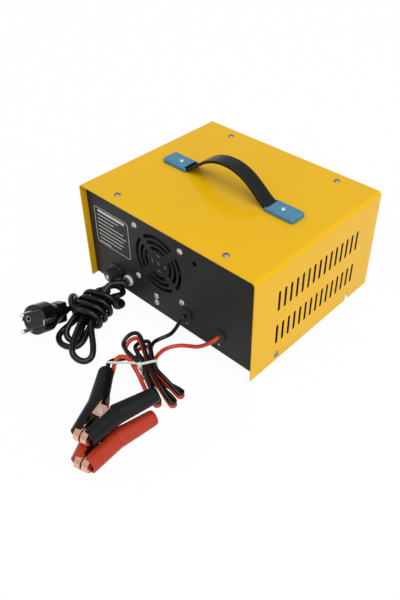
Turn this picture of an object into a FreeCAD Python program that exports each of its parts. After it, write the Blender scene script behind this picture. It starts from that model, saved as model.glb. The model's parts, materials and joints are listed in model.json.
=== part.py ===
import FreeCAD, Part
import os
from math import asin, atan2, cos, degrees, pi, radians, sin, tan

# A battery charger in a bent steel case, with a mains lead tied in a hank,
# two battery leads tied in a second hank, and two clamps stacked on the floor.
# Millimetres. X runs across the case, Y from its front to its rear panel, Z up.
# The floor is at Z = 0 and the origin is under the middle of the case.

# Case
CASE_WIDTH = 264.0
CASE_DEPTH = 221.0
CASE_HEIGHT = 133.0
COVER_LIFT = 5.0
SHEET = 1.2
COVER_BEND = 5.0
RECESS = 8.0
SHEET_GAP = 0.4
CHASSIS_LIFT = 6.0
FLANGE = 14.0

COVER_TOP = COVER_LIFT + CASE_HEIGHT
PANEL_Y = CASE_DEPTH / 2 - RECESS
PANEL_INNER = PANEL_Y - SHEET
CHASSIS_WIDTH = CASE_WIDTH - 2 * SHEET - 2 * SHEET_GAP
CHASSIS_TOP = COVER_TOP - SHEET - 0.3
FLOOR_TOP = CHASSIS_LIFT + SHEET

# Cooling slots in both sides
SLOT_COUNT = 15
SLOT_PITCH = 10.0
SLOT_WIDTH = 3.7
SLOT_LENGTH = 26.5
SLOT_ROWS = (44.9, 91.7)

# Nick in the bottom edge of one side
NICK_TOP = 18.8
NICK_Y = [-CASE_DEPTH / 2 + step for step in (45.7, 43.9, 37.5)]

# Screws
SCREW_HEAD = 4.0
SCREW_RISE = 2.2
SCREW_SHANK = 1.9
SCREW_FIT = 0.15
CASE_SCREW = 8.0
PANEL_SCREW = 12.0
TOP_SCREWS = [(a * (CASE_WIDTH / 2 - 50.5), b * (CASE_DEPTH / 2 - 15.0)) for a in (-1, 1) for b in (-1, 1)]
SIDE_SCREW = (CASE_DEPTH / 2 - 42.0, 13.8)

# Handle
CAP_X = 79.0
CAP_LENGTH = 39.0
CAP_WIDTH = 23.0
CAP_RISE = 5.6
CAP_WALL = 1.6
CAP_SCREW_X = 76.5
STRAP_WIDTH = 19.0
STRAP_THICK = 3.4
STRAP_ARCH = [(10.0, 32.2), (27.0, 26.4), (43.0, 14.8), (52.0, 6.9), (60.0, 2.1)]
STRAP_END = 90.0
MOUTH_REACH = 4.5
HANDLE_Y = -1.0

# Fan
FAN_X = 12.9
FAN_Z = COVER_TOP - 57.8
FAN_SIZE = 80.0
FAN_DEPTH = 25.0
FAN_BORE = 38.2
FAN_PITCH = 71.5
FAN_HUB = 16.0
FAN_TIP = 37.2
FAN_BLADES = 7
SHAFT = 1.5
GRILLE_RINGS = (34.5, 27.0, 19.5)
GRILLE_SLOT = 4.6
GRILLE_SPAN = 76.5
INNER_RING = 10.5
GRILLE_BRIDGE = 2 * GRILLE_RINGS[0] * sin(radians(90.0 - GRILLE_SPAN) / 2)

# Rear panel fittings
FUSE_X = CASE_WIDTH / 2 - 41.5
FUSE_Z = 27.0
GLAND_X = FUSE_X - 23.5
GLAND_Z = 27.0
GLAND_COLLAR = 7.0
RED_X = -CASE_WIDTH / 2 + 51.0
RED_Z = 31.2
BLACK_X = RED_X + 50.6
BLACK_Z = 31.4
SPARE_HOLE = (BLACK_X - 13.6, COVER_TOP - 27.2)
BRACKET_SCREWS = [(19.6, 29.2), (19.6, 19.6)]

# Leads
MAINS_RADIUS = 3.5
LEAD_RADIUS = 2.3
HANK_GAP = 0.4

# Front panel, which the photograph doesn't show
FASCIA = 1.0
METER_X = -CASE_WIDTH / 2 + 62.0
METER_Z = COVER_TOP - 46.0
METER_SIZE = 60.0
KNOB_X = CASE_WIDTH / 2 - 62.0
KNOB_Z = METER_Z
KNOB_REACH = 14.6
LAMP_X = (-12.0, 4.0, 20.0)
LAMP_Z = COVER_TOP - 34.0
POWER_ROCKER_X = CASE_WIDTH / 2 - 37.0
VOLTAGE_ROCKER_X = POWER_ROCKER_X - 45.0
ROCKER_Z = 40.0
ROCKER_TILT = 11.0

# Clamps
CLAMP_HANDLE = 45.0
CLAMP_JAW = 34.0
CLAMP_SPREAD = 29.0
CLAMP_SEAM = -9.5
SEAM_SIDE = 11.6
CLAMP_WEDGE = 15.0
RED_CLAMP = {"tip": (BLACK_X - 58.8, PANEL_Y + 200.0), "heading": 106.4, "z": 10.5}
BLACK_CLAMP = {"tip": (BLACK_X - 48.0, PANEL_Y + 189.4), "heading": 103.0, "z": 31.8}

# Plug
PLUG_FACE = (GLAND_X + 20.8, PANEL_Y + 121.8, 31.2)
PLUG_HEADING = 100.6
PLUG_TILT = 24.0
PLUG_ROLL = 14.0
PLUG_RADIUS = 17.2
PLUG_GRIP = 24.0
PIN_PITCH = 19.0
PLUG_LENGTH = 45.0
RELIEF_END = 52.5


# Small helpers

def vec(x, y, z):
    return FreeCAD.Vector(x, y, z)


def box(x0, x1, y0, y1, z0, z1):
    return Part.makeBox(x1 - x0, y1 - y0, z1 - z0, vec(x0, y0, z0))


def middle_box(x, y, z, dx, dy, dz):
    return box(x - dx / 2, x + dx / 2, y - dy / 2, y + dy / 2, z - dz / 2, z + dz / 2)


def rod(radius, start, end):
    a = vec(*start)
    b = vec(*end)
    return Part.makeCylinder(radius, (b - a).Length, a, b - a)


def cone(radius_a, radius_b, start, end):
    a = vec(*start)
    b = vec(*end)
    return Part.makeCone(radius_a, radius_b, (b - a).Length, a, b - a)


def fuse(pieces):
    whole = pieces[0]
    for piece in pieces[1:]:
        whole = whole.fuse(piece)
    return whole.removeSplitter()


def cut(body, tools):
    for tool in tools:
        body = body.cut(tool)
    return body


def prism(points, direction):
    wire = Part.makePolygon([vec(*p) for p in points] + [vec(*points[0])])
    return Part.Face(wire).extrude(vec(*direction))


def edges_along(shape, axis):
    found = []
    for edge in shape.Edges:
        if edge.Curve.TypeId != "Part::GeomLine":
            continue
        along = edge.tangentAt(edge.FirstParameter)
        if abs(abs(along[axis]) - 1.0) < 1e-6:
            found.append(edge)
    return found


def rounded(shape, radius, axis, keep=None):
    edges = edges_along(shape, axis)
    if keep:
        edges = [e for e in edges if keep(e.CenterOfMass)]
    return shape.makeFillet(radius, edges)


def save(name, pieces):
    if not isinstance(pieces, list):
        pieces = [pieces]
    solids = []
    for piece in pieces:
        solids.extend(piece.Solids)
    shape = solids[0] if len(solids) == 1 else Part.makeCompound(solids)
    shape.exportStep("parts/" + name + ".step")
    volume = sum(s.Volume for s in solids)
    print("%-24s %2d solid(s) %10.0f mm3" % (name, len(solids), volume))


# Cords: straight runs joined by tangent arcs

def turn_between(before, corner, after):
    a = (corner - before).normalize()
    b = (after - corner).normalize()
    return a.getAngle(b)


def route_wire(points):
    corners = [vec(*p) for p in points]
    edges = []
    radii = []
    here = corners[0]
    for i in range(1, len(corners) - 1):
        before, corner, after = corners[i - 1], corners[i], corners[i + 1]
        reach = 0.45 * min((corner - before).Length, (after - corner).Length)
        turn = turn_between(before, corner, after)
        radii.append(reach / tan(turn / 2))
        start = corner + (before - corner).normalize() * reach
        end = corner + (after - corner).normalize() * reach
        inward = ((start - corner).normalize() + (end - corner).normalize()).normalize()
        middle = corner + inward * (radii[-1] / cos(turn / 2) - radii[-1])
        edges.append(Part.LineSegment(here, start).toShape())
        edges.append(Part.Arc(start, middle, end).toShape())
        here = end
    edges.append(Part.LineSegment(here, corners[-1]).toShape())
    return Part.Wire(edges), radii


def tube(name, points, radius):
    wire, radii = route_wire(points)
    start = vec(*points[0])
    along = (vec(*points[1]) - start).normalize()
    section = Part.Wire([Part.makeCircle(radius, start, along)])
    solid = wire.makePipeShell([section], True, False)
    length = wire.Length
    share = solid.Volume / (pi * radius ** 2 * length)
    low = min(p[2] for p in points) - radius
    print("%s: %.0f mm long, tightest bends %s mm, lowest %.2f mm, volume %.4f of section x length"
          % (name, length, [round(r, 1) for r in sorted(radii)[:3]], low, share))
    return solid


def sampled(points, step=1.0):
    wire, radii = route_wire(points)
    count = int(wire.Length / step)
    return [p for p in wire.discretize(Number=count)], wire.Length / (count - 1)


def least_gap(name, points, radius):
    places, step = sampled(points)
    apart = int(radius * 5 / step) + 1
    least = 1e9
    for i, a in enumerate(places):
        for b in places[i + apart:]:
            least = min(least, (a - b).Length)
    print("%s: least gap to itself %.2f mm" % (name, least - 2 * radius))


def gap_between(name, first, first_radius, second, second_radius):
    a_places = sampled(first)[0]
    b_places = sampled(second)[0]
    least = min((a - b).Length for a in a_places for b in b_places)
    print("%s: least gap %.2f mm" % (name, least - first_radius - second_radius))


# Hanks: the waist is where the strands are tied together

MAINS_HANK = {"x": GLAND_X + 3.0, "y": PANEL_Y + 54.5, "heading": 107.5, "waist": 22.0}
LEADS_HANK = {"x": BLACK_X - 16.8, "y": PANEL_Y + 74.0, "heading": 150.0, "waist": 9.0}
STRAND_PITCH = 9.6
UPPER_STRAND = 19.2
LOWER_STRAND = 11.6
WRAP_PITCH = 11.0
WRAP_COUNT = 3
LEAD_PITCH = 5.1
LEAD_UPPER = 18.8
LEAD_LOWER = 8.0
WAIST_RISE = 1.7
RED_DROP = 5.4
RED_INSET = 3.0
LONG_LOOPS = ((-35.0, 35.0), (-20.5, 40.5), (-6.5, 33.0))
SHORT_LOOPS = ((4.6, 35.6, 9.5), (12.3, 43.2, 11.5))
SHORT_FALLS = ((6.5, 9.5, 10.6, 10.8), (-0.6, -0.2, 5.0, 8.8))
LOOP_TIP = 3.05
HALF_WAY = 15.0
HALF_SPREAD = 2.2


def hank_point(hank, u, w, z):
    # u runs along the hank and w across it
    c = cos(radians(hank["heading"]))
    s = sin(radians(hank["heading"]))
    return (hank["x"] + u * c + w * s, hank["y"] + u * s - w * c, z)


def lobe(hank, end, angle, reach, half, start, finish, heights):
    # the corners of one loop outside the waist, from strand start to strand finish
    t = radians(angle)
    along = (end * cos(t), sin(t))
    across = (-along[1], along[0])
    side = 1.0 if (start - finish) * across[1] >= 0 else -1.0
    centre_u = end * hank["waist"] + along[0] * (reach - half)
    centre_w = (start + finish) / 2 + along[1] * (reach - half)
    corner = half / cos(radians(22.5))
    points = []
    for k, z in enumerate(heights):
        turn = radians(45.0 * k - 67.5)
        ahead = corner * cos(turn)
        aside = -side * corner * sin(turn)
        u = centre_u + along[0] * ahead + across[0] * aside
        w = centre_w + along[1] * ahead + across[1] * aside
        points.append(hank_point(hank, u, w, z))
    return points


def pass_waist(hank, w, z, end, sag=0.3):
    reach = end * hank["waist"]
    return [hank_point(hank, -reach, w, z), hank_point(hank, 0.0, w, z - sag), hank_point(hank, reach, w, z)]


def mains_hank_route():
    p = STRAND_PITCH
    up = UPPER_STRAND
    low = LOWER_STRAND
    route = pass_waist(MAINS_HANK, 0, up, 1)
    route += lobe(MAINS_HANK, 1, -28, 53, 13.2, 0, -p, (15.5, 7.0, MAINS_RADIUS + 0.15, 9.0))
    route += pass_waist(MAINS_HANK, -p, up, -1)
    route += lobe(MAINS_HANK, -1, -30, 24.5, 11.0, -p, p, (17.5, 15.5, 15.5, 18.0))
    route += pass_waist(MAINS_HANK, p, up, 1)
    route += lobe(MAINS_HANK, 1, -9, 25, 8.2, p, 0, (12.0, 5.5, MAINS_RADIUS + 0.15, 4.0))
    route += pass_waist(MAINS_HANK, 0, low, -1)
    route += lobe(MAINS_HANK, -1, 28, 25, 7.5, 0, p, (6.0, 3.6, 3.6, 6.0))
    route += pass_waist(MAINS_HANK, p, low, 1)
    route += lobe(MAINS_HANK, 1, 6, 34.5, 17.5, p, -p, (5.0, MAINS_RADIUS + 0.15, MAINS_RADIUS + 0.15, 4.0))
    route += pass_waist(MAINS_HANK, -p, low, -1)
    return route


def mains_wrap_route():
    # the same lead wound round the waist, as a rounded box
    side = 2 * STRAND_PITCH + 0.1
    lean = STRAND_PITCH + 3.4
    ring = [(-side, -5.2), (-side, 5.2), (-lean, 11.8), (0.0, 12.3), (lean, 11.8),
            (side, 5.2), (side, -5.2), (lean, -11.4), (0.0, -11.5), (-lean, -11.4)]
    level = MAINS_RADIUS + 11.7
    start = ((-22, -STRAND_PITCH, LOWER_STRAND), (-29.5, -11.5, 8.3), (-31.5, -18.5, 7.3), (-26, -23.5, 7.6))
    route = [hank_point(MAINS_HANK, u, w, z) for u, w, z in start]
    for k in range(WRAP_COUNT * len(ring) + 4):
        w, z = ring[k % len(ring)]
        route.append(hank_point(MAINS_HANK, -17 + WRAP_PITCH * k / len(ring), w, level + z))
    return route


def stretches(*routes):
    # cuts one long route in the middle of the run between each pair of its parts
    parts = [list(route) for route in routes]
    for before, after in zip(parts, parts[1:]):
        middle = tuple((a + b) / 2 for a, b in zip(before[-1], after[0]))
        before.append(middle)
        after.insert(0, middle)
    return parts


def plug_frame():
    # forward out of the plug's face, up towards the upper pin, and side
    heading = radians(PLUG_HEADING)
    tilt = radians(PLUG_TILT)
    roll = radians(PLUG_ROLL)
    ahead = vec(cos(heading) * cos(tilt), sin(heading) * cos(tilt), sin(tilt))
    level = vec(sin(heading), -cos(heading), 0)
    up = level.cross(ahead)
    pins = up * cos(roll) + level * sin(roll)
    return ahead, pins, ahead.cross(pins)


def plug_point(back):
    ahead, pins, side = plug_frame()
    p = vec(*PLUG_FACE) - ahead * back
    return (p.x, p.y, p.z)


def mains_tail_route():
    places = ((21.8, 9.0, 28.3), (17.5, 16.8, 30.2), (9.5, 23.2, 29.2), (1.5, 27.4, 25.6), (-4.6, 29.2, 19.8),
              (-6.6, 29.8, 12.4), (-4.3, 30.0, 6.9))
    route = [hank_point(MAINS_HANK, u, w, z) for u, w, z in places]
    return route + [plug_point(RELIEF_END + 11.5), plug_point(RELIEF_END)]


def leads_hank_route(drop, inset):
    # three long loops one way and two short ones the other, each strand in its own place
    up = LEAD_UPPER - drop
    low = LEAD_LOWER - drop
    tied_up = up + WAIST_RISE
    tied_low = low + WAIST_RISE
    waist = LEADS_HANK["waist"]
    route = []
    for k, (angle, reach) in enumerate(LONG_LOOPS):
        w = LEAD_PITCH * (k - 1)
        half_u = waist + HALF_WAY * cos(radians(angle))
        half_w = w + HALF_WAY * sin(radians(angle))
        route += [hank_point(LEADS_HANK, -waist, w, tied_low), hank_point(LEADS_HANK, waist, w, tied_low)]
        route.append(hank_point(LEADS_HANK, half_u, half_w - HALF_SPREAD, low - 0.1))
        route += lobe(LEADS_HANK, 1, angle, reach, LOOP_TIP, w - 1, w + 1, (low, low, low + 0.3, low + 1.6))
        route.append(hank_point(LEADS_HANK, half_u, half_w + HALF_SPREAD, up))
        route += [hank_point(LEADS_HANK, waist, w, tied_up + 0.1), hank_point(LEADS_HANK, -waist, w, tied_up)]
        if k < len(SHORT_LOOPS):
            back, far, half = SHORT_LOOPS[k]
            heights = [tied_up - fall for fall in SHORT_FALLS[k]]
            route += lobe(LEADS_HANK, -1, back, far - inset, half - inset / 2, w, w + LEAD_PITCH, heights)
    return route


def beside(x, places):
    # points given from a fitting of the rear panel
    return [(x + dx, PANEL_Y + dy, z) for dx, dy, z in places]


GLAND_FACE = PANEL_Y + 3.5
GROMMET_FACE = PANEL_Y + 2.5
MAINS_FREE = beside(GLAND_X, [(0, 3.5, GLAND_Z), (0, 8.5, GLAND_Z), (5.5, 14.5, 27.6), (10.6, 21.0, 27.4),
                              (11.3, 27.5, 24.5)])
BLACK_FREE = beside(BLACK_X, [(0, 2.5, BLACK_Z), (0, 7.5, BLACK_Z), (2.4, 10.0, 24.0), (6.4, 12.0, 14.0),
                              (10.0, 17.0, 5.5), (15.9, 27.0, 2.8), (17.9, 37.5, 2.8), (10.9, 48.0, 3.5),
                              (-0.6, 58.0, 6.5)])
RED_FREE = beside(RED_X, [(0, 2.5, RED_Z), (0, 7.5, RED_Z), (5.0, 11.0, 25.5), (13.0, 12.0, 17.0), (23.5, 12.3, 7.5),
                          (34.5, 14.0, 2.9), (44.5, 21.0, 2.5), (51.5, 34.5, 2.5), (50.5, 47.0, 2.6),
                          (46.0, 57.5, 3.0)])
# The black lead leaves the hank through the tie and the red one beside it
BLACK_ARCH = [hank_point(LEADS_HANK, -14.0, 9.5, 20.4), hank_point(LEADS_HANK, -16.8, 17.0, 19.6)]
BLACK_ARCH += beside(BLACK_X, [(9.4, 87.5, 20.5), (11.8, 96.5, 24.5), (9.1, 105.3, 30.2)])
RED_ARCH = [hank_point(LEADS_HANK, 25.0, 8.6, 6.0), hank_point(LEADS_HANK, 13.0, 11.0, 9.5),
            hank_point(LEADS_HANK, 3.5, 12.5, 13.2), hank_point(LEADS_HANK, -3.0, 15.6, 18.8)]
RED_ARCH += beside(BLACK_X, [(-2.6, 85.9, 24.6), (2.8, 88.1, 28.8), (6.4, 92.7, 30.8), (6.4, 98.3, 31.0),
                             (3.2, 104.3, 27.5), (1.8, 108.0, 20.5), (2.2, 113.0, 14.0)])


# Case

def top_cover():
    half = CASE_WIDTH / 2
    deep = CASE_DEPTH / 2
    shell = box(-half, half, -deep, deep, COVER_LIFT, COVER_TOP)
    shell = rounded(shell, COVER_BEND, 1, lambda c: c.z > COVER_TOP / 2)
    inside = box(-half + SHEET, half - SHEET, -deep - 1, deep + 1, COVER_LIFT - 1, COVER_TOP - SHEET)
    shell = shell.cut(rounded(inside, COVER_BEND - SHEET, 1, lambda c: c.z > COVER_TOP / 2))
    tools = []
    straight = SLOT_LENGTH / 2 - SLOT_WIDTH / 2
    for row in SLOT_ROWS:
        for k in range(SLOT_COUNT):
            y = SLOT_PITCH * (k - (SLOT_COUNT - 1) / 2)
            slot = middle_box(0, y, row, CASE_WIDTH + 2, SLOT_WIDTH, 2 * straight)
            for z in (row - straight, row + straight):
                slot = slot.fuse(rod(SLOT_WIDTH / 2, (-half - 1, y, z), (half + 1, y, z)))
            tools.append(slot)
    nick = zip(NICK_Y, (COVER_LIFT - 1, NICK_TOP, COVER_LIFT - 1))
    tools.append(prism([(-half - 1, y, z) for y, z in nick], (SHEET + 3, 0, 0)))
    y, z = SIDE_SCREW
    tools.append(rod(SCREW_SHANK + SCREW_FIT, (-half - 1, y, z), (half + 1, y, z)))
    for x, y in TOP_SCREWS + [(-CAP_SCREW_X, HANDLE_Y), (CAP_SCREW_X, HANDLE_Y)]:
        tools.append(rod(SCREW_SHANK + SCREW_FIT, (x, y, COVER_TOP - 5), (x, y, COVER_TOP + 1)))
    return cut(shell, tools)


def arc_slot(radius, middle_angle, span, width, y0, y1):
    # a curved slot with rounded ends, centred on the fan
    outer = rod(radius + width / 2, (FAN_X, y0, FAN_Z), (FAN_X, y1, FAN_Z))
    inner = rod(radius - width / 2, (FAN_X, y0 - 1, FAN_Z), (FAN_X, y1 + 1, FAN_Z))
    far = radius * 3
    a = radians(middle_angle - span / 2)
    b = radians(middle_angle + span / 2)
    m = radians(middle_angle)
    wedge = [(FAN_X, y0, FAN_Z)]
    wedge += [(FAN_X + far * cos(t), y0, FAN_Z + far * sin(t)) for t in (a, m, b)]
    ring = outer.cut(inner).common(prism(wedge, (0, y1 - y0, 0)))
    for t in (a, b):
        x = FAN_X + radius * cos(t)
        z = FAN_Z + radius * sin(t)
        ring = ring.fuse(rod(width / 2, (x, y0, z), (x, y1, z)))
    return ring


def grille_cuts():
    # rings of four slots, with bridges of one width between them
    y0, y1 = PANEL_INNER - 1, PANEL_Y + 1
    cuts = []
    for radius in GRILLE_RINGS + (INNER_RING,):
        span = 90.0 - 2 * degrees(asin(GRILLE_BRIDGE / 2 / radius) + asin(GRILLE_SLOT / 2 / radius))
        for quarter in (0, 90, 180, 270):
            cuts.append(arc_slot(radius, quarter, span, GRILLE_SLOT, y0, y1))
    cuts.append(rod(3.0, (FAN_X, y0, FAN_Z), (FAN_X, y1, FAN_Z)))
    return cuts


def fan_screw_places():
    half = FAN_PITCH / 2
    return [(FAN_X + a * half, FAN_Z + b * half) for a in (-1, 1) for b in (-1, 1)]


FUSE_BARREL = 6.0
GLAND_NECK = GLAND_COLLAR - 1.6
GROMMET_NECK = 4.6
METER_BARREL = 25.0
ROCKER_BODY = (19.0, 28.0)
FEET = [(a * (CASE_WIDTH / 2 - 37.0), b * (CASE_DEPTH / 2 - 35.5)) for a in (-1, 1) for b in (-1, 1)]
FOOT_RADIUS = 8.0
FOOT_SEAT = 3.4
BOARD_X = -CHASSIS_WIDTH / 2 + 16.4
BOARD_WIDTH = 80.0
CORE = (120.0, 60.0, 100.0)
CORE_TO_BOARD = 4.0
TRANSFORMER_X = BOARD_X + BOARD_WIDTH + CORE_TO_BOARD + CORE[0] / 2
TRANSFORMER_BOLTS = [(TRANSFORMER_X + a * 50.0, b * 48.0) for a in (-1, 1) for b in (-1, 1)]


def chassis():
    half = CHASSIS_WIDTH / 2
    shell = box(-half, half, -PANEL_Y, PANEL_Y, CHASSIS_LIFT, CHASSIS_TOP)
    shell = rounded(shell, 2.0, 0)
    room = box(-half, half, -PANEL_Y - 1, PANEL_Y + 1, 0, CHASSIS_TOP)
    shell = shell.common(rounded(room, COVER_BEND - SHEET, 1, lambda c: c.z > COVER_TOP / 2))
    hollow = box(-half - 1, half + 1, -PANEL_INNER, PANEL_INNER, FLOOR_TOP, CHASSIS_TOP - SHEET)
    shell = shell.cut(rounded(hollow, 0.8, 0))
    edge = PANEL_Y - FLANGE
    shell = shell.cut(box(-half - 1, half + 1, -edge, edge, CHASSIS_TOP - 10, CHASSIS_TOP + 1))
    for side in (-1, 1):
        outer = side * half
        inner = side * (half - SHEET)
        y, z = SIDE_SCREW
        tab = box(min(outer, inner), max(outer, inner), y - 10, y + 10, FLOOR_TOP - 0.5, z + 7)
        shell = shell.fuse(tab)
    tools = grille_cuts()
    tools.append(box(-half - 1, -half + 14, NICK_Y[2] - 6, NICK_Y[0] + 6, CHASSIS_LIFT - 1, FLOOR_TOP + 1))
    y, z = SIDE_SCREW
    tools.append(rod(SCREW_SHANK, (-half - 1, y, z), (half + 1, y, z)))
    for x, y in TOP_SCREWS:
        tools.append(rod(SCREW_SHANK, (x, y, CHASSIS_TOP - 5), (x, y, CHASSIS_TOP + 1)))
    rear = [(x, z, SCREW_SHANK + SCREW_FIT) for x, z in fan_screw_places() + BRACKET_SCREWS]
    rear += [(FUSE_X, FUSE_Z, FUSE_BARREL + SCREW_FIT), (GLAND_X, GLAND_Z, GLAND_NECK + SCREW_FIT)]
    rear += [(BLACK_X, BLACK_Z, GROMMET_NECK + SCREW_FIT), (RED_X, RED_Z, GROMMET_NECK + SCREW_FIT)]
    rear.append((SPARE_HOLE[0], SPARE_HOLE[1], 3.0))
    for x, z, r in rear:
        tools.append(rod(r, (x, PANEL_INNER - 3, z), (x, PANEL_Y + 3, z)))
    tools += front_cuts(-PANEL_Y - 3, -PANEL_INNER + 3)
    for x, y in FEET:
        tools.append(rod(SCREW_SHANK, (x, y, CHASSIS_LIFT - 1), (x, y, FLOOR_TOP + 1)))
    for x, y in TRANSFORMER_BOLTS:
        tools.append(rod(2.6, (x, y, CHASSIS_LIFT - 1), (x, y, FLOOR_TOP + 1)))
    return cut(shell, tools)


def front_cuts(y0, y1):
    cuts = [rod(METER_BARREL + 0.5, (METER_X, y0, METER_Z), (METER_X, y1, METER_Z))]
    cuts.append(rod(5.2, (KNOB_X, y0, KNOB_Z), (KNOB_X, y1, KNOB_Z)))
    for x in LAMP_X:
        cuts.append(rod(4.2, (x, y0, LAMP_Z), (x, y1, LAMP_Z)))
    for x in (POWER_ROCKER_X, VOLTAGE_ROCKER_X):
        wide, tall = ROCKER_BODY
        cuts.append(middle_box(x, (y0 + y1) / 2, ROCKER_Z, wide + 0.4, y1 - y0, tall + 0.4))
    return cuts


def screw(place, outward, length, head=SCREW_HEAD, rise=SCREW_RISE, shank=SCREW_SHANK - 0.05):
    # a domed head on the surface, a cross recess, and a shank going in
    at = vec(*place)
    out = vec(*outward).normalize()
    ball = (head ** 2 + rise ** 2) / (2 * rise)
    dome = Part.makeSphere(ball, at + out * (rise - ball))
    dome = dome.common(Part.makeCylinder(head, rise, at, out))
    for angle in (0, 90):
        bar = Part.makeBox(head * 1.1, 0.9, 2.0, vec(-head * 0.55, -0.45, rise * 0.45))
        bar.rotate(vec(0, 0, 0), vec(0, 0, 1), angle + 20)
        turn = FreeCAD.Rotation(vec(0, 0, 1), out)
        bar.Placement = FreeCAD.Placement(at, turn).multiply(bar.Placement)
        dome = dome.cut(bar)
    return dome.fuse(Part.makeCylinder(shank, length + 0.4, at + out * 0.4, out * -1)).removeSplitter()


def case_screws():
    # four in the top, one low in each side and one up through each foot
    screws = [screw((x, y, COVER_TOP), (0, 0, 1), CASE_SCREW) for x, y in TOP_SCREWS]
    y, z = SIDE_SCREW
    for side in (-1, 1):
        screws.append(screw((side * CASE_WIDTH / 2, y, z), (side, 0, 0), CASE_SCREW))
    screws += [screw((x, y, FOOT_SEAT), (0, 0, -1), CASE_SCREW) for x, y in FEET]
    return screws


# Handle

def handle_strap():
    # an arch between the caps and a flat tongue under each cap
    right = STRAP_ARCH + [(STRAP_END, STRAP_ARCH[-1][1])]
    profile = [(-x, h) for x, h in reversed(right)] + right
    path = route_wire([(x, HANDLE_Y, COVER_TOP + h) for x, h in profile])[0]
    wide = STRAP_WIDTH / 2
    half = STRAP_THICK / 2
    start = vec(-STRAP_END, HANDLE_Y, COVER_TOP + profile[0][1])
    corners = [start + vec(0, y, z) for y, z in ((-wide, -half), (wide, -half), (wide, half), (-wide, half))]
    section = Part.makePolygon(corners + corners[:1])
    body = path.makePipeShell([section], True, False)
    for side in (-1, 1):
        x = side * CAP_SCREW_X
        body = body.cut(rod(SCREW_SHANK + 0.4, (x, HANDLE_Y, COVER_TOP - 1), (x, HANDLE_Y, COVER_TOP + 8)))
    print("strap: lowest %.2f mm above the cover" % (body.BoundBox.ZMin - COVER_TOP))
    return body


def handle_caps():
    caps = []
    for side in (-1, 1):
        x = side * CAP_X
        inner = x - side * CAP_LENGTH / 2
        outer = x + side * CAP_LENGTH / 2
        x0, x1 = min(inner, outer), max(inner, outer)
        y0, y1 = HANDLE_Y - CAP_WIDTH / 2, HANDLE_Y + CAP_WIDTH / 2
        block = box(x0, x1, y0, y1, COVER_TOP, COVER_TOP + CAP_RISE)
        block = rounded(block, 4.0, 2, lambda c: abs(c.x) > abs(x))
        lip = [e for e in block.Edges if e.BoundBox.ZMin > COVER_TOP + CAP_RISE - 0.01]
        block = block.makeChamfer(1.4, lip)
        room = STRAP_WIDTH / 2 + 0.3
        end = side * (STRAP_END + 0.5)
        start = inner - side * 1
        roof = COVER_TOP + STRAP_ARCH[-1][1] + STRAP_THICK / 2 + 0.25
        tunnel = box(min(start, end), max(start, end), HANDLE_Y - room, HANDLE_Y + room, COVER_TOP - 1, roof)
        block = block.cut(tunnel)
        slant = [(start, roof - 1), (start, roof + 7), (inner + side * MOUTH_REACH, roof - 0.2),
                 (inner + side * (MOUTH_REACH + 2), roof - 1)]
        mouth = prism([(sx, HANDLE_Y - room, sz) for sx, sz in slant], (0, 2 * room, 0))
        block = block.cut(mouth)
        sx = side * CAP_SCREW_X
        hole = rod(SCREW_SHANK + SCREW_FIT, (sx, HANDLE_Y, COVER_TOP - 1), (sx, HANDLE_Y, COVER_TOP + 9))
        caps.append(block.cut(hole))
    return caps


def handle_screws():
    # each screw and the nut under the cover
    screws = []
    for side in (-1, 1):
        x = side * CAP_SCREW_X
        screws.append(screw((x, HANDLE_Y, COVER_TOP + CAP_RISE), (0, 0, 1), CAP_RISE + 6, head=3.2, rise=1.5))
        z = COVER_TOP - SHEET
        turns = [radians(60 * k) for k in range(6)]
        hexagon = [(x + 4 * cos(t), HANDLE_Y + 4 * sin(t), z) for t in turns]
        nut = prism(hexagon, (0, 0, -3.0))
        screws.append(nut.cut(rod(SCREW_SHANK, (x, HANDLE_Y, z - 4), (x, HANDLE_Y, z + 1))))
    return screws


# Fan

FAN_REAR = PANEL_INNER - 0.1
FAN_FRONT = FAN_REAR - FAN_DEPTH


def fan_frame():
    half = FAN_SIZE / 2
    body = box(FAN_X - half, FAN_X + half, FAN_FRONT, FAN_REAR, FAN_Z - half, FAN_Z + half)
    body = rounded(body, 4.0, 1)
    body = body.cut(rod(FAN_BORE, (FAN_X, FAN_FRONT - 1, FAN_Z), (FAN_X, FAN_REAR + 1, FAN_Z)))
    for x, z in fan_screw_places():
        body = body.cut(rod(SCREW_SHANK, (x, FAN_FRONT - 1, z), (x, FAN_REAR + 1, z)))
    mount = rod(FAN_HUB + 0.5, (FAN_X, FAN_REAR - 3, FAN_Z), (FAN_X, FAN_REAR - 0.4, FAN_Z))
    post = rod(4.0, (FAN_X, FAN_FRONT + 9, FAN_Z), (FAN_X, FAN_REAR - 2.5, FAN_Z))
    inside = [mount, post]
    for k in range(4):
        spoke = box(FAN_HUB - 1, FAN_BORE + 1.2, FAN_REAR - 3, FAN_REAR - 0.4, -1.5, 1.5)
        spoke.rotate(vec(0, 0, 0), vec(0, 1, 0), 45 + 90 * k)
        spoke.translate(vec(FAN_X, 0, FAN_Z))
        inside.append(spoke)
    body = fuse([body] + inside)
    return body.cut(rod(SHAFT + 0.05, (FAN_X, FAN_FRONT, FAN_Z), (FAN_X, FAN_REAR - 2.2, FAN_Z)))


def fan_stator():
    ring = rod(12.8, (FAN_X, FAN_FRONT + 10, FAN_Z), (FAN_X, FAN_REAR - 4, FAN_Z))
    ring = ring.cut(rod(4.0, (FAN_X, FAN_FRONT + 9, FAN_Z), (FAN_X, FAN_REAR - 3, FAN_Z)))
    for k in range(4):
        gap = middle_box(9.5, FAN_FRONT + 15, 0, 8, 30, 2.2)
        gap.rotate(vec(0, 0, 0), vec(0, 1, 0), 90 * k)
        gap.translate(vec(FAN_X, 0, FAN_Z))
        ring = ring.cut(gap)
    return ring


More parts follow.
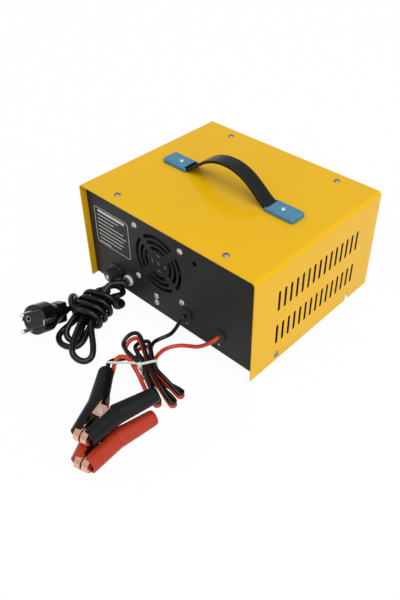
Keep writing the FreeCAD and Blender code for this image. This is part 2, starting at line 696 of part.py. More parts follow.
def fan_rotor():
    y0 = FAN_FRONT + 2.0
    y1 = FAN_REAR - 4.5
    cup = rod(FAN_HUB, (FAN_X, y0, FAN_Z), (FAN_X, y1, FAN_Z))
    cup = cup.cut(rod(FAN_HUB - 1.8, (FAN_X, y0 + 2, FAN_Z), (FAN_X, y1 + 1, FAN_Z)))
    shaft = rod(SHAFT, (FAN_X, y0 + 1, FAN_Z), (FAN_X, FAN_REAR - 3.4, FAN_Z))
    pieces = [cup, shaft]
    reach = rod(FAN_TIP, (FAN_X, y0, FAN_Z), (FAN_X, y1, FAN_Z))
    reach = reach.cut(rod(FAN_HUB - 1.0, (FAN_X, y0 - 1, FAN_Z), (FAN_X, y1 + 1, FAN_Z)))
    middle = (y0 + y1) / 2
    for k in range(FAN_BLADES):
        blade = box(FAN_HUB - 2, FAN_TIP + 2, -0.7, 0.7, -10.5, 10.5)
        blade.rotate(vec(0, 0, 0), vec(1, 0, 0), 40)
        blade.translate(vec(0, middle, 0))
        blade.rotate(vec(0, 0, 0), vec(0, 1, 0), 360.0 * k / FAN_BLADES)
        blade.translate(vec(FAN_X, 0, FAN_Z))
        pieces.append(blade.common(reach))
    return fuse(pieces)


def panel_screws():
    return [screw((x, PANEL_Y, z), (0, 1, 0), PANEL_SCREW) for x, z in fan_screw_places() + BRACKET_SCREWS]


def terminal_bracket():
    # the small angle that the two screws hold, with the fan lead's terminal on it
    (x, top), (_, low) = BRACKET_SCREWS
    plate = box(x - 8, x + 8, PANEL_INNER - 1.5, PANEL_INNER, low - 6, top + 6)
    foot = box(x - 8, x + 8, PANEL_INNER - 14, PANEL_INNER, low - 6, low - 4.5)
    body = plate.fuse(foot)
    for sx, sz in BRACKET_SCREWS:
        body = body.cut(rod(SCREW_SHANK, (sx, PANEL_INNER - 5, sz), (sx, PANEL_Y, sz)))
    return body.removeSplitter()


# Rear fittings

def fuse_holder():
    flange = rod(11.3, (FUSE_X, PANEL_Y, FUSE_Z), (FUSE_X, PANEL_Y + 2.5, FUSE_Z))
    flange = flange.makeChamfer(0.8, [e for e in flange.Edges if e.BoundBox.YMin > PANEL_Y + 2])
    barrel = rod(FUSE_BARREL, (FUSE_X, PANEL_Y - 38, FUSE_Z), (FUSE_X, PANEL_Y + 1, FUSE_Z))
    lug = box(FUSE_X - 2.4, FUSE_X + 2.4, PANEL_Y - 46, PANEL_Y - 37, FUSE_Z - 0.4, FUSE_Z + 0.4)
    body = fuse([flange, barrel, lug])
    return body.cut(rod(3.5, (FUSE_X, PANEL_Y - 35, FUSE_Z), (FUSE_X, PANEL_Y + 4, FUSE_Z)))


def fuse_holder_nut():
    y = PANEL_INNER
    turns = [radians(60 * k) for k in range(6)]
    nut = prism([(FUSE_X + 9.5 * cos(t), y, FUSE_Z + 9.5 * sin(t)) for t in turns], (0, -3.5, 0))
    return nut.cut(rod(FUSE_BARREL + 0.05, (FUSE_X, y - 5, FUSE_Z), (FUSE_X, y + 1, FUSE_Z)))


CAP_START = PANEL_Y + 2.8
CAP_END = CAP_START + 12.0


def fuse_cap():
    body = rod(7.6, (FUSE_X, CAP_START, FUSE_Z), (FUSE_X, CAP_END, FUSE_Z))
    body = body.makeChamfer(1.2, [e for e in body.Edges if e.BoundBox.YMin > CAP_END - 0.5])
    grooves = []
    for k in range(18):
        t = radians(20 * k)
        x = FUSE_X + 7.9 * cos(t)
        z = FUSE_Z + 7.9 * sin(t)
        grooves.append(rod(0.8, (x, CAP_START + 2, z), (x, CAP_END + 1, z)))
    body = cut(body, grooves)
    stem = rod(3.3, (FUSE_X, CAP_START - 3, FUSE_Z), (FUSE_X, CAP_START + 0.5, FUSE_Z))
    tip = rod(3.0, (FUSE_X, CAP_END - 0.5, FUSE_Z), (FUSE_X, CAP_END + 0.8, FUSE_Z))
    body = fuse([body, stem, tip])
    return body.cut(middle_box(FUSE_X, CAP_END + 0.8, FUSE_Z, 8.0, 1.2, 1.0))


def fuse_link():
    y = CAP_START - 3.2
    ends = [rod(3.15, (FUSE_X, y - 7, FUSE_Z), (FUSE_X, y, FUSE_Z)),
            rod(3.15, (FUSE_X, y - 32, FUSE_Z), (FUSE_X, y - 25, FUSE_Z))]
    glass = rod(2.9, (FUSE_X, y - 25, FUSE_Z), (FUSE_X, y - 7, FUSE_Z))
    return ends + [glass]


def mains_gland():
    collar = rod(GLAND_COLLAR, (GLAND_X, PANEL_Y, GLAND_Z), (GLAND_X, GLAND_FACE, GLAND_Z))
    collar = collar.makeFillet(1.2, [e for e in collar.Edges if e.BoundBox.YMin > PANEL_Y + 1])
    neck = rod(GLAND_NECK, (GLAND_X, PANEL_Y - 6, GLAND_Z), (GLAND_X, PANEL_Y + 1, GLAND_Z))
    return fuse([collar, neck])


def lead_grommets():
    pieces = []
    for x, z in ((BLACK_X, BLACK_Z), (RED_X, RED_Z)):
        collar = rod(7.2, (x, PANEL_Y, z), (x, GROMMET_FACE, z))
        collar = collar.makeFillet(1.0, [e for e in collar.Edges if e.BoundBox.YMin > PANEL_Y + 1])
        neck = rod(GROMMET_NECK, (x, PANEL_INNER - 1, z), (x, PANEL_Y + 1, z))
        back = rod(7.0, (x, PANEL_INNER - 2.0, z), (x, PANEL_INNER, z))
        pieces.append(fuse([collar, neck, back]))
    return pieces


# Feet

def feet():
    pieces = []
    for x, y in FEET:
        foot = cone(FOOT_RADIUS - 1.0, FOOT_RADIUS, (x, y, 0), (x, y, CHASSIS_LIFT))
        foot = foot.cut(rod(4.6, (x, y, -1), (x, y, FOOT_SEAT)))
        pieces.append(foot.cut(rod(SCREW_SHANK + SCREW_FIT, (x, y, 0), (x, y, CHASSIS_LIFT + 1))))
    return pieces


# Transformer

CORE_LIFT = FLOOR_TOP + 3.0
LEG = 20.0


def transformer_core():
    wide, deep, tall = CORE
    x0, x1 = TRANSFORMER_X - wide / 2, TRANSFORMER_X + wide / 2
    body = box(x0, x1, -deep / 2, deep / 2, CORE_LIFT, CORE_LIFT + tall)
    for side in (-1, 1):
        x = TRANSFORMER_X + side * 30
        body = body.cut(box(x - 10, x + 10, -deep, deep, CORE_LIFT + LEG, CORE_LIFT + tall - LEG))
    for x in (x0 + 10, x1 - 10):
        for z in (CORE_LIFT + 10, CORE_LIFT + tall - 10):
            body = body.cut(rod(2.3, (x, -deep, z), (x, deep, z)))
    return body


def ring_block(dx, dy, inner_dx, inner_dy, z0, z1, radius):
    outer = box(TRANSFORMER_X - dx, TRANSFORMER_X + dx, -dy, dy, z0, z1)
    inner = box(TRANSFORMER_X - inner_dx, TRANSFORMER_X + inner_dx, -inner_dy, inner_dy, z0 - 1, z1 + 1)
    return rounded(outer, radius, 2).cut(inner)


def transformer_bobbin():
    z0 = CORE_LIFT + LEG + 0.3
    z1 = CORE_LIFT + CORE[2] - LEG - 0.3
    sleeve = ring_block(22.0, 32.0, 20.3, 30.3, z0, z1, 1.0)
    pieces = [sleeve]
    for z in (z0, z1 - 1.5):
        pieces.append(ring_block(39.6, 50.0, 20.3, 30.3, z, z + 1.5, 3.0))
    return fuse(pieces)


def transformer_windings():
    z0 = CORE_LIFT + LEG + 2.2
    z1 = CORE_LIFT + CORE[2] - LEG - 2.2
    primary = ring_block(30.0, 40.0, 22.3, 32.3, z0, z1, 4.0)
    outer = box(TRANSFORMER_X - 38.5, TRANSFORMER_X + 38.5, -48.5, 48.5, z0, z1)
    outer = rounded(outer, 8.0, 2)
    inner = box(TRANSFORMER_X - 30.4, TRANSFORMER_X + 30.4, -40.4, 40.4, z0 - 1, z1 + 1)
    inner = rounded(inner, 4.0, 2)
    return [primary, outer.cut(inner)]


def transformer_frame():
    pieces = []
    wide, deep, tall = CORE
    x0, x1 = TRANSFORMER_X - wide / 2, TRANSFORMER_X + wide / 2
    for side in (-1, 1):
        near = side * deep / 2
        far = side * (deep / 2 + 2)
        up = box(x0, x1, min(near, far), max(near, far), FLOOR_TOP, CORE_LIFT + LEG - 1)
        out = side * (deep / 2 + 24)
        foot = box(x0, x1, min(near, out), max(near, out), FLOOR_TOP, FLOOR_TOP + 2)
        piece = up.fuse(foot).removeSplitter()
        for x in (x0 + 10, x1 - 10):
            piece = piece.cut(rod(2.3, (x, -deep, CORE_LIFT + 10), (x, deep, CORE_LIFT + 10)))
        for x, y in TRANSFORMER_BOLTS:
            piece = piece.cut(rod(2.6, (x, y, 0), (x, y, 20)))
        pieces.append(piece)
    return pieces


def transformer_bolts():
    pieces = []
    wide, deep, tall = CORE
    for x in (TRANSFORMER_X - wide / 2 + 10, TRANSFORMER_X + wide / 2 - 10):
        for z in (CORE_LIFT + 10, CORE_LIFT + tall - 10):
            rise = 2.0 if z < 60 else 0.0
            half = deep / 2 + rise
            bolt = rod(2.2, (x, -half - 1, z), (x, half + 5, z))
            head = rod(4.2, (x, -half - 3, z), (x, -half, z))
            nut = rod(4.2, (x, half, z), (x, half + 3.2, z))
            pieces.append(fuse([bolt, head, nut]))
    for x, y in TRANSFORMER_BOLTS:
        bolt = rod(2.5, (x, y, CHASSIS_LIFT - 0.5), (x, y, FLOOR_TOP + 8))
        head = rod(4.4, (x, y, CHASSIS_LIFT - 3.0), (x, y, CHASSIS_LIFT))
        nut = rod(4.4, (x, y, FLOOR_TOP + 2), (x, y, FLOOR_TOP + 5.5))
        pieces.append(fuse([bolt, head, nut]))
    return pieces


# Rectifier and board

SINK_X = -CHASSIS_WIDTH / 2 + 58.4


def heat_sink():
    base = box(SINK_X - 5, SINK_X, -20, 60, FLOOR_TOP, 72)
    pieces = [base]
    for k in range(9):
        y = -19 + 9.6 * k
        pieces.append(box(SINK_X - 36, SINK_X - 4.5, y, y + 2, FLOOR_TOP, 72))
    return fuse(pieces).cut(rod(2.0, (SINK_X - 6, 20, 45), (SINK_X + 1, 20, 45)))


def rectifier():
    body = middle_box(SINK_X + 4.1, 20, 45, 8.0, 28.0, 28.0)
    body = body.cut(rod(2.1, (SINK_X - 1, 20, 45), (SINK_X + 9, 20, 45)))
    pieces = [body]
    for y in (10.0, 30.0):
        for z in (35.0, 55.0):
            pieces.append(middle_box(SINK_X + 12, y, z, 8.2, 0.8, 5.0))
    return fuse(pieces)


def rectifier_screw():
    return screw((SINK_X + 8.1, 20, 45), (1, 0, 0), 11.0, head=3.6)


BOARD_Y = -PANEL_INNER + 9.3
BOARD_DEPTH = 44.0
BOARD_Z = FLOOR_TOP + 10.0
BOARD_TOP = BOARD_Z + 1.6
RELAY = (57.0, 14.0)
RELAY_HEIGHT = 12.0


def board_posts():
    return [(BOARD_X + dx, BOARD_Y + dy) for dx in (5.0, BOARD_WIDTH - 5.0) for dy in (5.0, BOARD_DEPTH - 5.0)]


def control_board():
    board = box(BOARD_X, BOARD_X + BOARD_WIDTH, BOARD_Y, BOARD_Y + BOARD_DEPTH, BOARD_Z, BOARD_TOP)
    return cut(board, [rod(1.6, (x, y, BOARD_Z - 1), (x, y, BOARD_Z + 3)) for x, y in board_posts()])


def board_standoffs():
    pieces = []
    for x, y in board_posts():
        post = rod(3.2, (x, y, FLOOR_TOP), (x, y, BOARD_Z))
        pin = rod(1.5, (x, y, BOARD_Z - 0.5), (x, y, BOARD_Z + 3.2))
        pieces.append(fuse([post, pin]))
    return pieces


def board_parts():
    # blocks: small transformer, relay, chip, connector; cans: three capacitors
    blocks = ((28.0, 16.0, 28.0, 16.0, 16.0), (*RELAY, 18.0, 16.0, RELAY_HEIGHT),
              (63.0, 34.0, 10.0, 8.0, 3.5), (71.5, 19.0, 7.0, 14.0, 9.0))
    cans = ((24.0, 34.0, 5.0, 20.0), (38.0, 34.0, 5.0, 20.0), (52.0, 32.0, 4.0, 12.0))
    pieces = [middle_box(BOARD_X + x, BOARD_Y + y, BOARD_TOP + h / 2, dx, dy, h) for x, y, dx, dy, h in blocks]
    for x, y, r, h in cans:
        pieces.append(rod(r, (BOARD_X + x, BOARD_Y + y, BOARD_TOP), (BOARD_X + x, BOARD_Y + y, BOARD_TOP + h)))
    return pieces


# Front panel

FASCIA_Y = -PANEL_Y - FASCIA


def front_fascia():
    half = CHASSIS_WIDTH / 2 - 4
    plate = box(-half, half, FASCIA_Y, -PANEL_Y, CHASSIS_LIFT + 6, CHASSIS_TOP - 5)
    plate = rounded(plate, 4.0, 1)
    return cut(plate, front_cuts(FASCIA_Y - 1, -PANEL_Y + 1))


METER_FRONT = FASCIA_Y - 12.0
NEEDLE_Z = METER_Z - 17.0
NEEDLE_Y = FASCIA_Y - 6.0


def meter_case():
    half = METER_SIZE / 2
    body = box(METER_X - half, METER_X + half, METER_FRONT, FASCIA_Y, METER_Z - half, METER_Z + half)
    body = rounded(body, 3.0, 1)
    barrel = rod(METER_BARREL, (METER_X, FASCIA_Y - 1, METER_Z), (METER_X, -PANEL_Y + 24, METER_Z))
    body = body.fuse(barrel).removeSplitter()
    cavity = box(METER_X - 27, METER_X + 27, METER_FRONT - 1, FASCIA_Y - 3, METER_Z - 14, METER_Z + 27)
    body = body.cut(rounded(cavity, 2.0, 1))
    hub = rod(9.5, (METER_X, METER_FRONT + 3, NEEDLE_Z), (METER_X, FASCIA_Y - 3, NEEDLE_Z))
    body = body.cut(hub)
    pivot = rod(1.0, (METER_X, FASCIA_Y - 5, NEEDLE_Z), (METER_X, FASCIA_Y - 2, NEEDLE_Z))
    body = body.fuse(pivot).removeSplitter()
    for x in (METER_X - 24, METER_X + 24):
        body = body.cut(rod(1.6, (x, METER_FRONT - 1, METER_Z - 24), (x, METER_FRONT + 3, METER_Z - 24)))
    return body


def meter_window():
    pane = box(METER_X - 26.8, METER_X + 26.8, METER_FRONT, METER_FRONT + 1.6, METER_Z - 13.8, METER_Z + 26.8)
    return rounded(pane, 1.8, 1)


def meter_needle():
    # at rest the needle leans to the left end of its scale
    bar = box(-0.6, 0.6, NEEDLE_Y - 0.5, NEEDLE_Y + 0.5, -6.0, 34.0)
    hub = rod(3.0, (0, NEEDLE_Y - 1.2, 0), (0, NEEDLE_Y + 1.2, 0))
    piece = fuse([bar, hub]).cut(rod(1.05, (0, NEEDLE_Y - 0.5, 0), (0, NEEDLE_Y + 3, 0)))
    piece.rotate(vec(0, 0, 0), vec(0, 1, 0), -45)
    piece.translate(vec(METER_X, 0, NEEDLE_Z))
    return piece


ROCKER_PIVOT_Y = FASCIA_Y + 1.6


def rocker_housing(x):
    wide, tall = ROCKER_BODY
    bezel = middle_box(x, FASCIA_Y - 1.0, ROCKER_Z, wide + 4, 2.0, tall + 4)
    bezel = rounded(bezel, 2.0, 1)
    inner = middle_box(x, -PANEL_Y + 9.25, ROCKER_Z, wide, 21.5, tall)
    body = fuse([bezel, inner])
    body = body.cut(box(x - 7.8, x + 7.8, FASCIA_Y - 3, FASCIA_Y + 9, ROCKER_Z - 12.3, ROCKER_Z + 12.3))
    body = body.cut(rod(1.26, (x - 9.2, ROCKER_PIVOT_Y, ROCKER_Z), (x + 9.2, ROCKER_PIVOT_Y, ROCKER_Z)))
    for dz in (-8, 0, 8):
        body = body.fuse(middle_box(x, -PANEL_Y + 23.75, ROCKER_Z + dz, 4.8, 8.5, 0.8))
    return body.removeSplitter()


def rocker(x):
    # two faces that meet in a shallow valley, and a round back that turns in the housing
    front = 1.4
    corner = front + 11.5 * tan(radians(ROCKER_TILT))
    outline = [(x - 7.5, -front, 0.0), (x - 7.5, -corner, 11.4), (x - 7.5, 4.0, 11.2),
               (x - 7.5, 4.0, -11.2), (x - 7.5, -corner, -11.4)]
    body = prism(outline, (15, 0, 0))
    body = body.common(rod(12.0, (x - 9, 0, 0), (x + 9, 0, 0)))
    body = body.fuse(rod(1.2, (x - 9.0, 0, 0), (x + 9.0, 0, 0))).removeSplitter()
    body.rotate(vec(x, 0, 0), vec(1, 0, 0), ROCKER_TILT)
    body.translate(vec(0, ROCKER_PIVOT_Y, ROCKER_Z))
    return body


def charge_switch():
    can = rod(15.0, (KNOB_X, -PANEL_INNER + 0.2, KNOB_Z), (KNOB_X, -PANEL_INNER + 16, KNOB_Z))
    bush = rod(5.0, (KNOB_X, FASCIA_Y - 3.0, KNOB_Z), (KNOB_X, -PANEL_INNER + 1, KNOB_Z))
    body = fuse([can, bush])
    return body.cut(rod(3.05, (KNOB_X, FASCIA_Y - 6, KNOB_Z), (KNOB_X, -PANEL_INNER + 12, KNOB_Z)))


def charge_knob():
    y0, y1 = FASCIA_Y - 4.0, FASCIA_Y - KNOB_REACH
    skirt = rod(17.0, (KNOB_X, y0, KNOB_Z), (KNOB_X, y0 - 4, KNOB_Z))
    grip = cone(13.5, 12.0, (KNOB_X, y0 - 3.5, KNOB_Z), (KNOB_X, y1, KNOB_Z))
    body = fuse([skirt, grip])
    grooves = []
    for k in range(16):
        t = radians(22.5 * k + 11.25)
        x, z = KNOB_X + 14.2 * cos(t), KNOB_Z + 14.2 * sin(t)
        grooves.append(rod(1.3, (x, y0 - 4.2, z), (x, y1 - 1, z)))
    body = cut(body, grooves)
    return body.cut(rod(3.0, (KNOB_X, y0 + 1, KNOB_Z), (KNOB_X, y0 - 8, KNOB_Z)))


def charge_spindle():
    return rod(3.0, (KNOB_X, FASCIA_Y - 12.0, KNOB_Z), (KNOB_X, -PANEL_INNER + 11, KNOB_Z))


def indicator_lamps():
    pieces = []
    for x in LAMP_X:
        collar = rod(5.2, (x, FASCIA_Y - 1.5, LAMP_Z), (x, FASCIA_Y, LAMP_Z))
        stem = rod(4.0, (x, FASCIA_Y - 1.0, LAMP_Z), (x, -PANEL_INNER + 8, LAMP_Z))
        lens = Part.makeSphere(3.2, vec(x, FASCIA_Y - 1.5, LAMP_Z))
        pieces.append(fuse([collar, stem, lens]))
    return pieces


# Wires inside the case

def inner_wires():
    back = -PANEL_Y
    behind = PANEL_INNER - 2.1
    live = beside(GLAND_X, [(-2.5, -6.5, GLAND_Z), (-2.5, -16.5, GLAND_Z), (7.0, -40.5, 18.0)])
    live += beside(FUSE_X, [(-5.5, -47.6, 21.0), (0.0, -47.6, FUSE_Z - 0.8)])
    switched = beside(FUSE_X, [(3.0, -47.5, FUSE_Z + 1.0), (13.5, -52.5, 32.0)])
    past_core = (TRANSFORMER_X + CORE[0] / 2 + CHASSIS_WIDTH / 2) / 2 + 1.8
    switched += [(past_core, 20.0, 34.0), (past_core, -30.0, 36.0),
                 (POWER_ROCKER_X + 5.0, back + 40.5, 46.0), (POWER_ROCKER_X, back + 29.5, 49.0)]
    neutral = beside(GLAND_X, [(2.5, -6.5, GLAND_Z), (2.5, -14.5, 30.0), (3.0, -32.5, 60.0)])
    neutral += [(TRANSFORMER_X + 36.0, 56.0, 84.0), (TRANSFORMER_X + 30.0, 50.5, 84.0)]
    red = [(RED_X, behind, RED_Z), (RED_X, PANEL_Y - 14.5, RED_Z), (SINK_X + 2.0, PANEL_Y - 28.5, 40.0),
           (SINK_X + 14.0, 40.0, 52.0), (SINK_X + 13.5, 31.0, 55.0)]
    relay_x = BOARD_X + RELAY[0]
    relay_y = BOARD_Y + RELAY[1]
    black = [(BLACK_X, behind, BLACK_Z), (BLACK_X, PANEL_Y - 14.5, BLACK_Z), (BLACK_X - 9.6, PANEL_Y - 36.5, 22.0),
             (SINK_X + 20.0, 20.0, 20.0), (SINK_X + 20.0, -30.0, 26.0), (relay_x + 7.0, relay_y + 22.0, 38.0),
             (relay_x + 2.5, relay_y + 8.0, 44.0), (relay_x, relay_y, 42.0),
             (relay_x, relay_y, BOARD_TOP + RELAY_HEIGHT)]
    routes = {"live to fuse": (live, 1.3), "fuse to switch": (switched, 1.3),
              "neutral to transformer": (neutral, 1.3), "red inside": (red, 2.0), "black inside": (black, 2.0)}
    return [tube("wire " + name, points, radius) for name, (points, radius) in routes.items()]


# Plug

def in_plug_frame(shape):
    # the shape was drawn with its face at the origin looking along +X and its pins one above the other
    ahead, pins, side = plug_frame()
    matrix = FreeCAD.Matrix()
    matrix.A11, matrix.A21, matrix.A31 = ahead.x, ahead.y, ahead.z
    left = pins.cross(ahead)
    matrix.A12, matrix.A22, matrix.A32 = left.x, left.y, left.z
    matrix.A13, matrix.A23, matrix.A33 = pins.x, pins.y, pins.z
    placement = FreeCAD.Placement(matrix)
    placement.Base = vec(*PLUG_FACE)
    moved = shape.copy()
    moved.Placement = placement
    return moved


EARTH_HOLE = 3.3
EARTH_Y = -9.0


def plug_body():
    r = PLUG_RADIUS
    head = rod(r, (-19, 0, 0), (0, 0, 0))
    head = head.makeFillet(1.2, [e for e in head.Edges if e.BoundBox.XMin > -1])
    waist = cone(11.0, r - 0.6, (-35, 0, 0), (-18.5, 0, 0))
    grip = middle_box(-39.5, 0, 0, 11.0, 15.0, PLUG_GRIP)
    grip = grip.makeFillet(3.0, edges_along(grip, 0))
    neck = cone(7.5, 10.0, (-PLUG_LENGTH, 0, 0), (-34, 0, 0))
    pieces = [head, waist, grip, neck, rod(4.4, (-RELIEF_END, 0, 0), (-PLUG_LENGTH + 1, 0, 0))]
    for k in range(3):
        back = PLUG_LENGTH + 1.2 + 2.4 * k
        pieces.append(rod(6.0 - 0.5 * k, (-back - 1.2, 0, 0), (-back, 0, 0)))
    body = fuse(pieces)
    for side in (-1, 1):
        channel = middle_box(-8, side * (r - 0.2), 0, 24, 3.2, 7.0)
        body = body.cut(channel)
    body = body.cut(rod(EARTH_HOLE, (-15, EARTH_Y, 0), (1, EARTH_Y, 0)))
    for z in (-PIN_PITCH / 2, PIN_PITCH / 2):
        body = body.cut(rod(2.42, (-12.0, 0, z), (1, 0, z)))
    return in_plug_frame(body)


def plug_pins():
    # two pins, the earth contact in its hole and the two side clips
    pieces = []
    for z in (-PIN_PITCH / 2, PIN_PITCH / 2):
        pin = rod(2.4, (-11.8, 0, z), (17.5, 0, z))
        tip = cone(2.4, 1.3, (17.5, 0, z), (19.0, 0, z))
        pieces.append(in_plug_frame(fuse([pin, tip])))
    contact = rod(EARTH_HOLE - 0.05, (-14.0, EARTH_Y, 0), (-0.3, EARTH_Y, 0))
    pieces.append(in_plug_frame(contact.cut(rod(EARTH_HOLE - 0.8, (-15.0, EARTH_Y, 0), (1, EARTH_Y, 0)))))
    for side in (-1, 1):
        clip = middle_box(-8.0, side * (PLUG_RADIUS - 1.0), 0, 20.0, 1.2, 6.4)
        pieces.append(in_plug_frame(clip))
    return pieces


# Clamps

def clamp_place(clamp):
    heading = radians(clamp["heading"])
    x = clamp["tip"][0] - CLAMP_JAW * cos(heading)
    y = clamp["tip"][1] - CLAMP_JAW * sin(heading)
    return x, y, clamp["z"]


def place_clamp(shape, clamp):
    # drawn with the pivot at the origin and the jaws towards +X; the fixed half is on the -Y side
    x, y, z = clamp_place(clamp)
    moved = shape.copy()
    moved.rotate(vec(0, 0, 0), vec(0, 0, 1), clamp["heading"])
    moved.translate(vec(x, y, z))
    return moved


def clamp_point(clamp, u, v, z=0.0):
    heading = radians(clamp["heading"])
    x, y, level = clamp_place(clamp)
    return (x + u * cos(heading) - v * sin(heading), y + u * sin(heading) + v * cos(heading), level + z)


def cord_entry(clamp):
    # the last two points of a battery lead, in line with the fixed handle it enters
    end = vec(*clamp_point(clamp, -CLAMP_HANDLE, -CLAMP_SPREAD))
    seam = vec(*clamp_point(clamp, CLAMP_SEAM, -SEAM_SIDE))
    back = (end - seam).normalize()
    places = [end + back * reach for reach in (11.0, 4.0)]
    return [(p.x, p.y, p.z) for p in places]


SLEEVE = 10.2
HANDLE_END = 8.2
SEAM_GAP = 0.3


def half_sleeves(side):
    # the handle sleeve and the jaw cover of one half; side is +1 or -1 across the clamp
    seam_v = side * SEAM_SIDE
    end = (-CLAMP_HANDLE, side * CLAMP_SPREAD, 0)
    seam = (CLAMP_SEAM, seam_v, 0)
    handle = cone(HANDLE_END, SLEEVE - 0.2, end, seam)
    handle = handle.fuse(Part.makeSphere(HANDLE_END, vec(*end)))
    a = vec(seam[0] - end[0], seam[1] - end[1], 0).normalize()
    flat = Part.makeBox(20, 40, 40, vec(-20, -20, -20))
    flat.rotate(vec(0, 0, 0), vec(0, 0, 1), degrees(atan2(a.y, a.x)))
    flat.translate(vec(*end) - a * 4.0)
    handle = handle.cut(flat)
    tip = (27.0, side * 5.2, 0)
    b = vec(tip[0] - seam[0], tip[1] - seam[1], 0).normalize()
    start = (seam[0] - 8.0 * b.x, seam[1] - 8.0 * b.y, 0)
    jaw = cone(SLEEVE, 8.6, start, tip)
    behind = Part.makeBox(40, 80, 60, vec(-40, -40, -30))
    behind.rotate(vec(0, 0, 0), vec(0, 0, 1), degrees(atan2(a.y, a.x)))
    behind.translate(vec(*seam) + a * SEAM_GAP)
    jaw = jaw.cut(behind)
    far = 60.0
    t = radians(CLAMP_WEDGE)
    room = [(far, side * 0.8, -15), (0.0, side * 0.8, -15), (-far * cos(t), side * (0.8 + far * sin(t)), -15),
            (-far * cos(t), side * far, -15), (far, side * far, -15)]
    half_space = prism(room, (0, 0, 30))
    pieces = []
    for piece in (handle, jaw):
        pieces.append(piece.common(half_space))
    return pieces


EAR = 7.0
PLATE = 1.4
TAIL_HALF = 4.6


def half_lever(side, ear_z, half_height):
    # the metal inside one half: a jaw with a rounded cup, two ears on the pin, a tail in the handle
    v = side * 1.2
    plate = box(8.0, 22.0, min(v, v + side * PLATE), max(v, v + side * PLATE), -half_height, half_height)
    cup_v = (side * 0.9, side * 7.5)
    cup = rod(7.6, (25.6, cup_v[0], 0), (25.6, cup_v[1], 0))
    cup = cup.cut(rod(6.2, (25.6, cup_v[0] - side * 1, 0), (25.6, cup_v[1] - side * 1.4, 0)))
    cup = cup.cut(rod(1.4, (25.6, 0, 0), (25.6, side * 12, 0)))
    pieces = [plate, cup]
    for z in (ear_z, -ear_z - PLATE):
        ear = rod(EAR, (0, 0, z), (0, 0, z + PLATE))
        outline = [(0, -side * 3, z), (14, side * 1.2, z), (14, side * (1.2 + PLATE), z), (4, side * 6.5, z),
                   (0, side * 6.9, z)]
        pieces += [ear, prism(outline, (0, 0, PLATE))]
    t = radians(CLAMP_WEDGE + 9)
    tail = box(-14.0, -8.5, 0, PLATE, -half_height, half_height)
    tail = tail.fuse(box(-32.0, -13.0, 0, PLATE, -TAIL_HALF, TAIL_HALF))
    for z in (ear_z, -ear_z - PLATE):
        tail = tail.fuse(box(-10.5, -3.0, 0, PLATE + 1.6, z, z + PLATE))
    tail = tail.removeSplitter()
    tail.rotate(vec(0, 0, 0), vec(0, 0, 1), -degrees(t))
    if side < 0:
        tail = tail.mirror(vec(0, 0, 0), vec(0, 1, 0))
    tail.translate(vec(0, side * 1.6, 0))
    pieces.append(tail)
    body = fuse(pieces)
    return body.cut(rod(2.05, (0, 0, -12), (0, 0, 12)))


FIXED_EAR = 6.9
MOVING_EAR = 5.2


def clamp_half(side, ear_z, half_height):
    lever = half_lever(side, ear_z, half_height)
    handle, jaw = half_sleeves(side)
    well = rod(10.0, (0, 0, -8.7), (0, 0, 8.7))
    core = rod(6.9, (6.0, side * 5.4, 0), (30.0, side * 4.6, 0))
    socket = rod(8.0, (25.6, side * -1, 0), (25.6, side * 7.8, 0))
    t = radians(CLAMP_WEDGE + 9)
    slot = box(-15.0, -4.0, -0.4, PLATE + 2.0, -half_height - 0.4, half_height + 0.4)
    slot = slot.fuse(box(-33.0, -14.0, -0.4, PLATE + 0.4, -TAIL_HALF - 0.4, TAIL_HALF + 0.4))
    slot.rotate(vec(0, 0, 0), vec(0, 0, 1), -degrees(t))
    if side < 0:
        slot = slot.mirror(vec(0, 0, 0), vec(0, 1, 0))
    slot.translate(vec(0, side * 1.6, 0))
    handle = cut(handle, [well, slot])
    height = 2 * half_height + 0.8
    groove = middle_box(13.0, side * 1.8, 0, 20.0, 2.4, height)
    pocket = middle_box(9.5, side * 2.2, 0, 13.0, 6.4, height)
    jaw = cut(jaw, [well, socket, core, slot, groove, pocket])
    handle = max(handle.Solids, key=lambda s: s.Volume)
    jaw = max(jaw.Solids, key=lambda s: s.Volume)
    return lever, handle, jaw


def clamp_pin():
    shaft = rod(2.0, (0, 0, -8.6), (0, 0, 8.6))
    heads = [rod(3.2, (0, 0, z), (0, 0, z + 0.6)) for z in (8.35, -8.95)]
    return fuse([shaft] + heads)


SPRING_WIRE = 0.6
SPRING_RADIUS = 3.4


def clamp_spring():
    turns = 5
    pitch = 1.6
    height = turns * pitch
    helix = Part.makeHelix(pitch, height, SPRING_RADIUS)
    start = vec(SPRING_RADIUS, 0, 0)
    section = Part.Wire([Part.makeCircle(SPRING_WIRE, start, vec(0, 1, pitch / (2 * pi * SPRING_RADIUS)))])
    coil = Part.Wire(helix.Edges).makePipeShell([section], True, True)
    coil.translate(vec(0, 0, -height / 2))
    coil.rotate(vec(0, 0, 0), vec(0, 0, 1), 90)
    return coil


# Tie round the battery leads

TIE_WIDTH = 2.6
TIE_THICK = 1.2
TIE_TAIL = 1.0
TIE_END = [(3.0, 0.2), (7.1, 4.0), (14.1, 6.4), (25.1, 9.7), (34.1, 13.7)]


